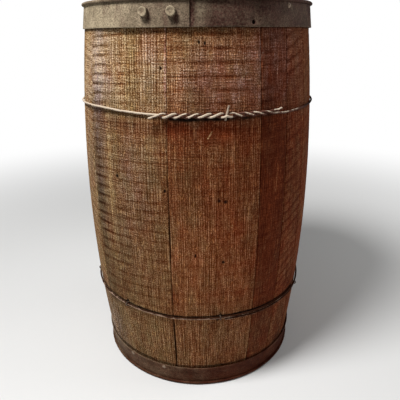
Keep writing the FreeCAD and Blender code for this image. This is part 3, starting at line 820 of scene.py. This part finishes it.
def makeHoop(name):
    # The outline carried once round the keg and on under its own far end. Its distance from the axis is
    # the flared round's, plus its place in the outline, the lap's step outwards and the sheet's waver.
    look = hoopLooks[name]
    covered, shown = look["lap"]
    theta = hoopTheta(look)[:, None]
    roundEnd = 360 + covered - hoopForm["joggleGap"] - hoopForm["joggle"]
    step = lapStep * smoothStep(roundEnd, roundEnd + hoopForm["joggle"], theta)
    start = shown + hoopForm["tongueClearance"]
    beaded = smoothStep(start, start + 0.7, theta)[..., None]
    outline = hoopOutline(False)[None] * (1 - beaded) + hoopOutline(True)[None] * beaded
    off = outline[..., 0]
    row = outline[..., 1]
    angle = look["way"] * theta
    farEdge = smoothStep(0.5, 1, row / hoopForm["width"])
    row = row + hoopForm["edgeWaver"] * mottle(angle % 360 / 11, 0.5, look["seed"] + 2) * farEdge
    radius = bandRadius(row) + off + step + hoopOffset(look, angle % 360, row)
    z = shell["height"] - row if name == "top_hoop" else row
    pale = np.interp(theta, *np.array(look["pale"]).T)
    pale = pale + 0.10 * mottle(angle / 6, row / 0.012, look["seed"] + 5)
    # the rivets' painted shadows
    pale = pale - sum(strength * bump(theta, row, spot) for *spot, strength in look["rivetShadows"])
    bead = smoothStep(hoopForm["sheet"] + 0.0003, hoopForm["sheet"] + 0.0012, off) * beaded[..., 0]
    scuffed = sum(strength * bump(theta, row, spot) for *spot, strength in look["scuffs"])
    edge = 1 - smoothStep(0.0002, 0.0010, hoopForm["width"] - row)
    fields = {
        "pale": np.clip(pale * (1 - 0.45 * bead), 0, 1),
        "worn": np.clip(edge * (0.1 + pale) + scuffed, 0, 1),
    }
    return tube("rolled_" + name, place(angle, radius, z), fields)


def onHoop(name, theta, row):
    # a spot on the lap's outside, with the directions round the keg, across the band and square off it
    look = hoopLooks[name]
    top = name == "top_hoop"
    spread = math.atan2(bandRadius(hoopForm["width"]) - bandRadius(hoopForm["inset"]),
                        hoopForm["width"] - hoopForm["inset"])
    theta = look["way"] * theta
    radius = bandRadius(row) + hoopForm["sheet"] + lapStep + float(hoopOffset(look, theta % 360, row))
    spot = place(theta, radius, shell["height"] - row if top else row)
    outward = place(theta, math.cos(spread), math.sin(spread) * (1 if top else -1))
    around = place(theta + 90, 1.0, 0.0)
    return spot, around, np.cross(outward, around), outward


rivetForm = {
    "radius": 0.0047,
    "proud": 0.0048,
    "rim": 0.0010,
    "dish": 0.0005,
    "neck": 0.0020,
    "uneven": 0.00022,
    "sides": 40,
}


def makeRivets(name):
    # Each head is a profile turned about its axis: up the side, round the rim and into a shallow dish,
    # pushed about a little by noise, as a hammer leaves it.
    proud = rivetForm["proud"]
    rim = rivetForm["rim"]
    radius = rivetForm["radius"]
    flat = radius - rim
    neck = rivetForm["neck"]
    turn = np.radians(np.linspace(0, 90, 9))
    side = [(neck, -0.0020), (neck, 0.0), (radius, -0.00005)]
    side += [(radius * 1.01, proud / 4), (radius, proud - rim)]
    rounding = np.stack([flat + rim * np.cos(turn), proud - rim + rim * np.sin(turn)], 1)[1:]
    dish = [(r, proud - rivetForm["dish"] * (1 - (r / flat) ** 2)) for r in np.linspace(flat, 0.00008, 9)[1:]]
    profile = np.concatenate([side, rounding, dish])
    angle = np.radians(np.arange(rivetForm["sides"]) * 360 / rivetForm["sides"])[None, :]
    parts = []
    for number, theta in enumerate(hoopLooks[name]["rivets"]):
        spot, around, across, outward = onHoop(name, theta, hoopForm["rivetRow"])
        lumps = mottle(np.degrees(angle) / 50 % 7.2, profile[:, 1:] * 300, 5 + number)
        r = profile[:, :1] * (1 + 0.05 * lumps)
        h = profile[:, 1:] + rivetForm["uneven"] * (profile[:, 1:] > proud * 0.4) \
            * mottle(2 + r * np.cos(angle) / 0.002, 2 + r * np.sin(angle) / 0.002, 9 + number)
        ring = spot + (r * np.cos(angle))[..., None] * around + (r * np.sin(angle))[..., None] * across \
            + h[..., None] * outward
        # The rim is painted bright, as a worn edge and as a highlight, and the side is painted darker than
        # the face, as shade.
        rimmed = smoothStep(proud - rim, proud - 0.0002, h) * smoothStep(0.0026, 0.0034, r)
        pale = 0.25 + 0.45 * smoothStep(proud - rim, proud - 0.0003, h)
        parts.append((ring, {"pale": pale, "worn": 0.9 * rimmed}))
    return tubes("hammered_" + name + "_rivets", parts)


def sheetMaterial(name, dark, light, shine):
    # dark and light each run between two colours; rust gathers in streaks, specks of both colours lie
    # over it all, and worn edges shine through
    material, tree, shader = nodeTree("weathered_" + name)
    cloud = between(tree, grainNoise(tree, (45, 45, 60), 4, 0.6), 0.35, 0.65)
    fine = grainNoise(tree, (420, 420, 420), 3, 0.65)
    speck = grainNoise(tree, (800, 800, 800), 2, 0.6)
    streak = grainNoise(tree, (110, 110, 24), 3, 0.6)
    dull = blendColour(tree, cloud, *dark)
    bright = blendColour(tree, cloud, *light)
    patchy = figure(tree, "MULTIPLY_ADD", fine, 0.7, -0.35)
    pale = figure(tree, "ADD", field(tree, "pale"), patchy, clamp=True)
    colour = blendColour(tree, pale, dull, bright)
    rust = figure(tree, "ADD", streak, figure(tree, "MULTIPLY_ADD", fine, 0.6, -0.3))
    colour = blendColour(tree, between(tree, rust, 0.50, 0.68, 0.0, 0.55), colour, dark[1])
    colour = vectorSum(tree, "SCALE", colour, between(tree, speck, 0.30, 0.70, 0.62, 1.38))
    worn = figure(tree, "MULTIPLY", field(tree, "worn"), between(tree, fine, 0.35, 0.6, 0.2, 0.8))
    colour = blendColour(tree, worn, colour, light[1])
    surface(tree, shader, colour, between(tree, fine, 0.3, 0.7, 0.50, 0.75), shine, shine)
    relief = figure(tree, "ADD", figure(tree, "MULTIPLY_ADD", cloud, 2.0, fine), speck)
    roughen(tree, shader, relief, 0.0005, 0.5)
    return material


spareHole = {"angle": 23.8, "row": 0.0234, "radius": 0.00195, "sides": 28, "uneven": 0.10}


def pierce(hoop):
    # a punched hole that no nail went into: a ragged rod pushed through the sheet and cut out of it
    angle, row = spareHole["angle"], spareHole["row"]
    spot = place(angle, bandRadius(row), shell["height"] - row)
    outward = place(angle, 1.0, 0.0)
    around = place(angle + 90, 1.0, 0.0)
    up = np.array([0, 0, 1.0])
    turn = np.radians(np.arange(spareHole["sides"]) * 360 / spareHole["sides"])[None, :]
    reach = np.array([-0.004, 0.006])[:, None]
    ragged = mottle(2 + 1.5 * np.cos(turn), 2 + 1.5 * np.sin(turn), 91)
    radius = spareHole["radius"] * (1 + spareHole["uneven"] * ragged)
    rod = spot + reach[..., None] * outward + (radius * np.cos(turn))[..., None] * around \
        + (radius * np.sin(turn))[..., None] * up
    cutter = tube("punch", rod, {})
    cut = hoop.modifiers.new("spareHole", "BOOLEAN")
    cut.operation = "DIFFERENCE"
    cut.solver = "EXACT"
    cut.object = cutter
    shape = bpy.data.meshes.new_from_object(hoop.evaluated_get(bpy.context.evaluated_depsgraph_get()))
    hoop.modifiers.clear()
    hoop.data = shape
    bpy.data.objects.remove(cutter)


def ironMaterial(name, dark, light, metallic):
    # nails and staples: two colours in fine specks
    material, tree, shader = nodeTree(name)
    fine = grainNoise(tree, (700, 700, 700), 3, 0.6)
    colour = blendColour(tree, between(tree, fine, 0.35, 0.65), dark, light)
    surface(tree, shader, colour, between(tree, fine, 0.3, 0.7, 0.55, 0.38), metallic, 0.2)
    roughen(tree, shader, fine, 0.0003, 0.4)
    return material


def dress(name, material):
    # a CAD node keeps its shape and gets its material
    nodes[name].data.materials.clear()
    nodes[name].data.materials.append(material)


nailSteel = ironMaterial("nailSteel", (0.080, 0.044, 0.026), (0.360, 0.260, 0.180), 0.2)
for name, look in hoopLooks.items():
    sheetSteel = sheetMaterial(name, look["dark"], look["light"], look["shine"])
    hoop = makeHoop(name)
    if name == "top_hoop":
        pierce(hoop)
    finishPiece(hoop, sheetSteel, [name])
    finishPiece(makeRivets(name), sheetSteel, [name + "_rivets"])
    dress(name + "_nails", nailSteel)
print("hoops made")


# wire hoops

# Under "upperSway" the upper wire's height above its level at angles along it, and then how dull each
# wire is at them. On the upper wire, the high dullness from about 57 to 125 degrees is painted shade.
wireForm = {
    "radius": 0.0011,
    "fit": 0.00005,
    "sides": 14,
    "upperHeight": 0.349,
    "upperSway": [(33, -0.0013), (40, -0.0030), (48, -0.0020), (66, 0), (295, 0.0015), (313, 0.0025),
                  (335, 0.0006), (344.3, 0)],
    "twistStart": -15.7,
    "twistMiddle": 11.5,
    "twistEnd": 33.0,
    "leftHalfTurns": 6,       # the two sides of the twist are wound opposite ways
    "rightHalfTurns": 4.5,
    "leftTwistRadius": 0.0019,
    "rightTwistRadius": 0.0014,
    "twistDepth": 0.0062,
    "stubRadius": 0.0010,
    "stubReach": 2.4,
    "leftTail": 3.7,
    "rightTail": 3.8,
    "tailRise": 0.0033,
    "lowerHeight": 0.109,
    "lowerStart": 12.6,
    "lowerEnd": 62.0,
    "lapFit": 0.0007,
    "runout": (71.0, 116.0),
    "kink": 0.00022,          # how far the wire strays from an even line
    "spacing": 0.0008,
    # from 57 to 125 degrees the upper wire is painted dark, as shade
    "upperDullAndShade": [(-180, 0.1), (-90, 0), (10, 0), (17, 0.09), (25, 0.13), (29, 0.19), (33, 0.24), (40, 0.26),
                  (50, 0.32), (57, 0.75), (63, 0.95), (125, 0.95), (145, 0.2), (180, 0.1)],
    "lowerDull": [(-180, 0.1), (-90, 0), (-22, 0), (-8, 0.05), (6, 0.08), (16, 0.16), (35, 0.27), (60, 0.25),
                  (180, 0.1)],
}


def resting(theta, z):
    # how far from the axis a wire's middle is when it lies on the wood
    return woodRadius(theta, z) + wireForm["radius"] + wireForm["fit"]


def wireTube(name, path, seed):
    # A round section carried along the path. Its two directions are the one away from the keg's axis,
    # made square to the path, and the one square to both. The ends are nipped: narrower over the last rings.
    ahead = np.gradient(path, axis=0)
    ahead = ahead / np.linalg.norm(ahead, axis=1, keepdims=True)
    away = path * (1, 1, 0)
    away = away / np.linalg.norm(away, axis=1, keepdims=True)
    away = away - ahead * (away * ahead).sum(1, keepdims=True)
    away = away / np.linalg.norm(away, axis=1, keepdims=True)
    beside = np.cross(ahead, away)
    turn = np.radians(np.arange(wireForm["sides"]) * 360 / wireForm["sides"])
    along = lengthAlong(path)
    dents = 0.05 * mottle(along[:, None] / 0.006, np.cos(turn)[None, :] * 1.5 + 2, seed)
    dents = dents + 0.03 * mottle(along[:, None] / 0.0016, np.sin(turn)[None, :] * 2 + 4, seed + 1)
    size = wireForm["radius"] * (1 + dents)
    nip = np.minimum(along, along[-1] - along)
    size = size * (0.55 + 0.45 * smoothStep(-0.0002, 0.0007, nip))[:, None]
    rings = path[:, None] + size[..., None] * (np.cos(turn)[None, :, None] * away[:, None]
                                               + np.sin(turn)[None, :, None] * beside[:, None])
    under = np.broadcast_to(-np.sin(turn)[None, :] * np.sign(beside[:, 2:3]), size.shape)
    off = np.linalg.norm(rings[..., :2], axis=2)
    angle = np.degrees(np.arctan2(rings[..., 0], -rings[..., 1]))
    # how deep in the twist's hollows a point lies: the material paints shade there
    deep = 1 - smoothStep(0.2, 0.75, (off - woodRadius(angle, path[:, None, 2])) / wireForm["twistDepth"])
    high = rings[..., 2] > half
    twisted = (angle > wireForm["twistStart"]) & (angle < wireForm["twistEnd"]) & high
    sprung = smoothStep(0.0006, 0.0018, rings[..., 2] - wireForm["upperHeight"])
    upperDullAndShade = np.interp(angle, *np.array(wireForm["upperDullAndShade"]).T) * (1 - 0.5 * sprung * (angle < 42))
    lowerDull = np.interp(angle, *np.array(wireForm["lowerDull"]).T)
    dull = np.where(high, upperDullAndShade, lowerDull)
    return tube(name, rings, {"under": under, "deep": deep * twisted, "dull": dull})


def twistPhase(theta):
    # the first strand's angle round the twist: wound one way up to the stub, and back again after it
    left = 180 + 180 * wireForm["leftHalfTurns"] * (theta - wireForm["twistStart"]) \
        / (wireForm["twistMiddle"] - wireForm["twistStart"])
    wound = 180 + 180 * wireForm["leftHalfTurns"]
    right = wound - 180 * wireForm["rightHalfTurns"] * (theta - wireForm["twistMiddle"]) \
        / (wireForm["twistEnd"] - wireForm["twistMiddle"])
    return np.where(theta < wireForm["twistMiddle"], left, right)


def strandOffset(theta):
    # middle of the twist to middle of a strand: wider at the stub, which stands between the strands
    ends = (wireForm["twistStart"], wireForm["twistEnd"])
    plain = np.interp(theta, ends, (wireForm["leftTwistRadius"], wireForm["rightTwistRadius"]))
    atStub = wireForm["stubRadius"] + wireForm["radius"] + 0.00015
    near = np.exp(-((theta - wireForm["twistMiddle"]) / wireForm["stubReach"]) ** 2)
    return plain + np.maximum(atStub - plain, 0) * near


def strand(theta, extra):
    # a helix round the twist's middle: out by the cosine of its phase, and up by the sine
    offset = strandOffset(theta)
    phase = np.radians(twistPhase(theta) + extra)
    z = wireForm["upperHeight"]
    return place(theta, resting(theta, z) + offset + offset * np.cos(phase), z + offset * np.sin(phase))


def smoothed(path, times):
    # each point drawn towards its neighbours' middle, again and again
    path = path.copy()
    for _ in range(times):
        path[1:-1] = path[1:-1] / 2 + (path[:-2] + path[2:]) / 4
    return path


def freeEnd(theta, along, rise, fromOut, fromUp):
    # from a strand's end out to a tip that has sprung away from the twist
    share = np.linspace(0, 1, 14)[1:]
    outer = 2 * float(strandOffset(theta))
    out = np.interp(share, [0, 0.5, 1], [fromOut, outer, outer + 0.0002])
    up = np.interp(share, [0, 0.5, 1], [fromUp, 0.55 * rise, rise])
    height = wireForm["upperHeight"]
    return place(theta + along * share, resting(theta, height) + out, height + up)


def upperWirePath():
    # a free end, one strand, the round behind the keg, the other strand, and a free end
    start, end = wireForm["twistStart"], wireForm["twistEnd"]
    z = wireForm["upperHeight"]
    twist = np.arange(start, end, 0.22)
    behind = np.arange(end + 3.0, 360 + start - 2.9, 0.8)
    slack = smoothStep(0, 12, behind - end) * smoothStep(0, 12, 360 + start - behind)
    wander = wireForm["kink"] * slack * (0.5 + 0.5 * mottle(behind / 9, 0.5, 41))
    sway = np.array(wireForm["upperSway"])
    level = z + np.interp(behind, sway[:, 0], sway[:, 1]) + 0.0004 * slack * mottle(behind / 5, 0.5, 43)
    around = place(behind, resting(behind, z) + wander, level)
    left, right = wireForm["leftTwistRadius"], wireForm["rightTwistRadius"]
    leftEnd = freeEnd(start, -wireForm["leftTail"], -wireForm["tailRise"], 2 * left, 0)[::-1]
    rightEnd = freeEnd(end, wireForm["rightTail"], wireForm["tailRise"], right, right)
    path = np.concatenate([leftEnd, strand(twist, 180), around, strand(twist, 0), rightEnd])
    return smoothed(evenly(path, int(lengthAlong(path)[-1] / wireForm["spacing"])), 3)


def lowerWirePath():
    # once round and on: the start lies under the far end, and climbs to the hoop's height past the lap
    theta = np.arange(wireForm["lowerStart"], 360 + wireForm["lowerEnd"], 0.7)
    z = wireForm["lowerHeight"]
    low, high = wireForm["runout"]
    climbed = np.clip((theta - low) / (high - low), 0, 1)
    level = z - (2 * wireForm["radius"] + wireForm["lapFit"]) * (1 - climbed)
    level = level + 0.0003 * mottle(theta / 7, 0.5, 53)
    wander = wireForm["kink"] * (0.5 + 0.5 * mottle(theta / 8, 0.5, 51))
    return smoothed(place(theta, resting(theta, z) + wander, level), 3)


def wireMaterial(name, bare, stain, amount, above, shine):
    # Rust in patches. One side of the wire can be stained more than the other: the top of the lower wire,
    # and the underside of the upper wire, which is painted shade. The hollows of the twist are painted
    # darker, as shade, and where the wire is dullest it is painted darker still, as shade.
    material, tree, shader = nodeTree(name)
    patch = grainNoise(tree, (120, 120, 120), 3, 0.6)
    fine = grainNoise(tree, (900, 900, 900), 2, 0.6)
    rust = figure(tree, "ADD", patch, figure(tree, "MULTIPLY_ADD", fine, 0.5, -0.25))
    rust = figure(tree, "ADD", rust, figure(tree, "MULTIPLY", field(tree, "under"), -above))
    rust = figure(tree, "MULTIPLY_ADD", field(tree, "deep"), 0.6, rust)
    rust = figure(tree, "ADD", field(tree, "dull"), rust)
    rust = between(tree, rust, 0.62 - amount * 0.3, 0.78 - amount * 0.3)
    colour = blendColour(tree, rust, bare, stain)
    # painted shade: the dullest stretches darkened further
    shadeDarkening = between(tree, field(tree, "dull"), 0.45, 0.95, 1.0, 0.30)
    colour = vectorSum(tree, "SCALE", colour, shadeDarkening)
    surface(tree, shader, colour, between(tree, rust, 0.0, 1.0, 0.5, 0.8), shine / 2, shine)
    roughen(tree, shader, figure(tree, "ADD", fine, patch), 0.0003, 0.4)
    return material


# Each wire's bare and stained colours, how much of it is stained, how much more so on top than underneath
# (below zero: more so underneath, which on the galvanised wire is painted shade), and its shine
wireFinishes = {
    "dullGalvanisedWire": ((0.53, 0.430, 0.325), (0.100, 0.042, 0.028), 0.20, -0.14, 0.10),
    "stubWire": ((0.45, 0.355, 0.265), (0.090, 0.038, 0.025), 0.45, 0, 0.10),
    "rustyWire": ((0.315, 0.210, 0.148), (0.036, 0.0125, 0.006), 0.32, 0.28, 0.02),
}
wires = {name: wireMaterial(name, *finish) for name, finish in wireFinishes.items()}
finishPiece(wireTube("twisted_upper_wire", upperWirePath(), 61), wires["dullGalvanisedWire"],
            ["upper_wire_hoop"])
finishPiece(wireTube("lapped_lower_wire", lowerWirePath(), 71), wires["rustyWire"],
            ["lower_wire_hoop"])
dress("tightening_stub", wires["stubWire"])
dress("lower_wire_staples", ironMaterial("stapleIron", (0.014, 0.007, 0.004), (0.160, 0.105, 0.072), 0.0))
print("wires made")


# heads

headForm = {
    "thickness": 0.012,
    "bevel": 0.011,
    "fit": 0.00025,
    "boards": 3,
    "gap": 0.0005,
    "topTurn": 62.0,
    "bottomTurn": 17.0,
    "row": 0.0016,            # grid spacing across a board, and the number of points along it
    "columns": 90,
    "arris": 0.0009,
    "sawPitch": 0.0085,
    "roughness": 0.00018,
    "looks": [
        {"tan": 0.62, "grey": 0.1, "pale": 1.00, "cross": 0.08, "contrast": 0.75},
        {"tan": 0.78, "grey": 0.2, "pale": 1.10, "cross": 0.12, "contrast": 0.80},
        {"tan": 0.55, "grey": 0.0, "pale": 0.90, "cross": 0.08, "contrast": 0.75},
    ],
}


def makeBoard(name, number, turn, top):
    # Rings from one edge of the board to the other: each is the board's outline in the plane square to
    # its width. The head's round edge is bevelled on both faces, and a flat tongue sits in the croze.
    rim = shell["crozeWidth"] / 2 - headForm["fit"]
    inside = shell["thickness"] + headForm["fit"]
    seatRadius = cornerRadius(shell["crozeInset"] - shell["crozeWidth"] / 2) - inside
    edgeRadius = cornerRadius(shell["crozeInset"]) + shell["crozeDepth"] - inside
    thick = headForm["thickness"] / 2
    width = 2 * edgeRadius / headForm["boards"]
    start = width * number - edgeRadius
    low = start + (headForm["gap"] if number else 0.0002)
    high = start + width - (headForm["gap"] if number < headForm["boards"] - 1 else 0.0002)
    x = np.linspace(low, high, int((high - low) / headForm["row"]))[:, None]

    def reachOf(radius):
        return np.sqrt(np.clip(radius ** 2 - x ** 2, 0.0000001, None))

    edge, seat, bevel = reachOf(edgeRadius), reachOf(seatRadius), reachOf(seatRadius - headForm["bevel"])
    share = np.linspace(-1, 1, headForm["columns"])[None, :]
    faceY = bevel * share
    grain = 0.6 * mottle(x / 0.0012, faceY / 0.035, 900 + number)
    grain = grain + mottle(x / 0.0035, faceY / 0.06, 910 + number)
    sway = 0.05 * x + 0.002 * mottle(x / 0.02, faceY / 0.02, 920)
    saw = np.sin(2 * math.pi * (faceY + sway) / headForm["sawPitch"])
    relief = headForm["roughness"] * (0.5 * grain + 0.35 * saw - 0.9)
    nearSide = np.minimum(x - low, high - x)
    relief = relief - roundedDrop(nearSide, headForm["arris"])
    upper = thick + relief
    ones = np.ones(x.shape)
    y = np.concatenate([faceY, seat, edge, edge, seat, -faceY, -seat, -edge, -edge, -seat], 1)
    z = np.concatenate([upper, rim * ones, rim * ones, -rim * ones, -rim * ones, -upper[:, ::-1],
                        -rim * ones, -rim * ones, rim * ones, rim * ones], 1)
    angle = math.radians(turn)
    xs = np.broadcast_to(x, y.shape)
    level = shell["crozeInset"] + z
    level = shell["height"] - level if top else level
    turned = (xs * math.cos(angle) - y * math.sin(angle), xs * math.sin(angle) + y * math.cos(angle))
    rings = np.stack([*turned, level], -1)
    crest = np.concatenate([0.7 * grain + 0.3 * saw, -0.2 * np.ones((len(x), 4)), 0.7 * grain + 0.3 * saw,
                            -0.2 * np.ones((len(x), 4))], 1)
    fields = {look: 0 * y + value for look, value in headForm["looks"][number].items()}
    fields["crest"] = crest
    fields["dark"] = 0 * y + 0.9 * np.exp(-(nearSide / 0.0013) ** 2)
    fields["grain"] = np.stack([xs, y, 0 * y + 20 + number], -1)
    return tube("planed_" + name, rings, fields)


def dowelMaterial():
    material, tree, shader = nodeTree("splitDowelWood")
    fibre = grainNoise(tree, (900, 900, 120), 3, 0.6)
    colour = blendColour(tree, between(tree, fibre, 0.35, 0.65), (0.20, 0.12, 0.06), (0.34, 0.23, 0.13))
    surface(tree, shader, colour, 0.8)
    roughen(tree, shader, fibre, 0.0003, 0.5)
    return material


dowelWood = dowelMaterial()
for end in ("bottom", "top"):
    for number in range(headForm["boards"]):
        name = "%s_head_board_%d" % (end, number + 1)
        board = makeBoard(name, number, headForm[end + "Turn"], end == "top")
        finishPiece(board, agedWood, [name])
    dress(end + "_head_dowels", dowelWood)
print("heads made")


# stage, lights and camera

stage = {
    "floorReach": 6.0,
    "floorLevel": -0.0002,
    "floor": (0.80, 0.80, 0.79),
    "floorFades": (0.40, 1.30),   # how far off it begins to turn white for the camera, and is all white
    "skyStrength": 0.14,
    "lens": 38.09,
    "cameraPlace": (0.00228, -0.5577, 0.4232),
    "lookDown": 21.39,
    "roll": -0.31,
}
lamps = {
    "key": {"azimuth": -47, "elevation": 60, "distance": 1.15, "size": 0.36, "power": 17},
    "fill": {"azimuth": 95, "elevation": 22, "distance": 1.5, "size": 1.2, "power": 7},
}


def makeFloor():
    x, z = stage["floorReach"], stage["floorLevel"]
    floor = addMesh("floor", [(-x, -x, z), (x, -x, z), (x, x, z), (-x, x, z)], [(0, 1, 2, 3)], {})
    material, tree, shader = nodeTree("paleFloor")
    speckle = grainNoise(tree, (90, 90, 90), 2, 0.5)
    colour = blendColour(tree, figure(tree, "MULTIPLY", speckle, 0.12), stage["floor"], (0.7, 0.7, 0.69))
    surface(tree, shader, colour, 0.7)
    length = tree.nodes.new("ShaderNodeVectorMath")
    length.operation = "LENGTH"
    tree.links.new(placeVector(tree, (1, 1, 1)), length.inputs[0])
    seen = tree.nodes.new("ShaderNodeLightPath").outputs["Is Camera Ray"]
    far = figure(tree, "MULTIPLY", between(tree, length.outputs["Value"], *stage["floorFades"]), seen)
    white = tree.nodes.new("ShaderNodeEmission")
    blend = tree.nodes.new("ShaderNodeMixShader")
    tree.links.new(far, blend.inputs["Fac"])
    tree.links.new(shader.outputs[0], blend.inputs[1])
    tree.links.new(white.outputs[0], blend.inputs[2])
    tree.links.new(blend.outputs[0], tree.nodes["Material Output"].inputs["Surface"])
    floor.data.materials.append(material)


def addLamp(name, form):
    # a round soft light that looks at the keg's middle from the given side and height
    lamp = bpy.data.lights.new(name, "AREA")
    lamp.shape = "DISK"
    lamp.size = form["size"]
    lamp.energy = form["power"]
    rise = math.radians(form["elevation"])
    away = Vector(place(form["azimuth"], math.cos(rise), math.sin(rise))) * form["distance"]
    holder = bpy.data.objects.new(name, lamp)
    holder.matrix_world = Matrix.Translation(Vector((0, 0, half)) + away) @ \
        (-away).to_track_quat("-Z", "Y").to_matrix().to_4x4()
    bpy.context.scene.collection.objects.link(holder)


def makeSky():
    world = bpy.data.worlds.new("studio")
    bpy.context.scene.world = world
    world.use_nodes = True
    tree = world.node_tree
    path = tree.nodes.new("ShaderNodeLightPath")
    back = tree.nodes["Background"]
    back.inputs["Color"].default_value = (1, 1, 1, 1)
    strength = figure(tree, "ADD", stage["skyStrength"],
                      figure(tree, "MULTIPLY", path.outputs["Is Camera Ray"], 1 - stage["skyStrength"]))
    tree.links.new(strength, back.inputs["Strength"])


def addCamera():
    camera = bpy.data.cameras.new("view")
    camera.lens = stage["lens"]
    camera.sensor_width = 36
    camera.clip_start = 0.01
    holder = bpy.data.objects.new("view", camera)
    tilt = Matrix.Rotation(math.radians(90 - stage["lookDown"]), 4, "X")
    roll = Matrix.Rotation(math.radians(stage["roll"]), 4, "Z")
    holder.matrix_world = Matrix.Translation(stage["cameraPlace"]) @ tilt @ roll
    bpy.context.scene.collection.objects.link(holder)
    bpy.context.scene.camera = holder


makeFloor()
for name, form in lamps.items():
    addLamp(name, form)
makeSky()
addCamera()
bpy.context.scene.view_settings.view_transform = "Standard"
print("stage set")
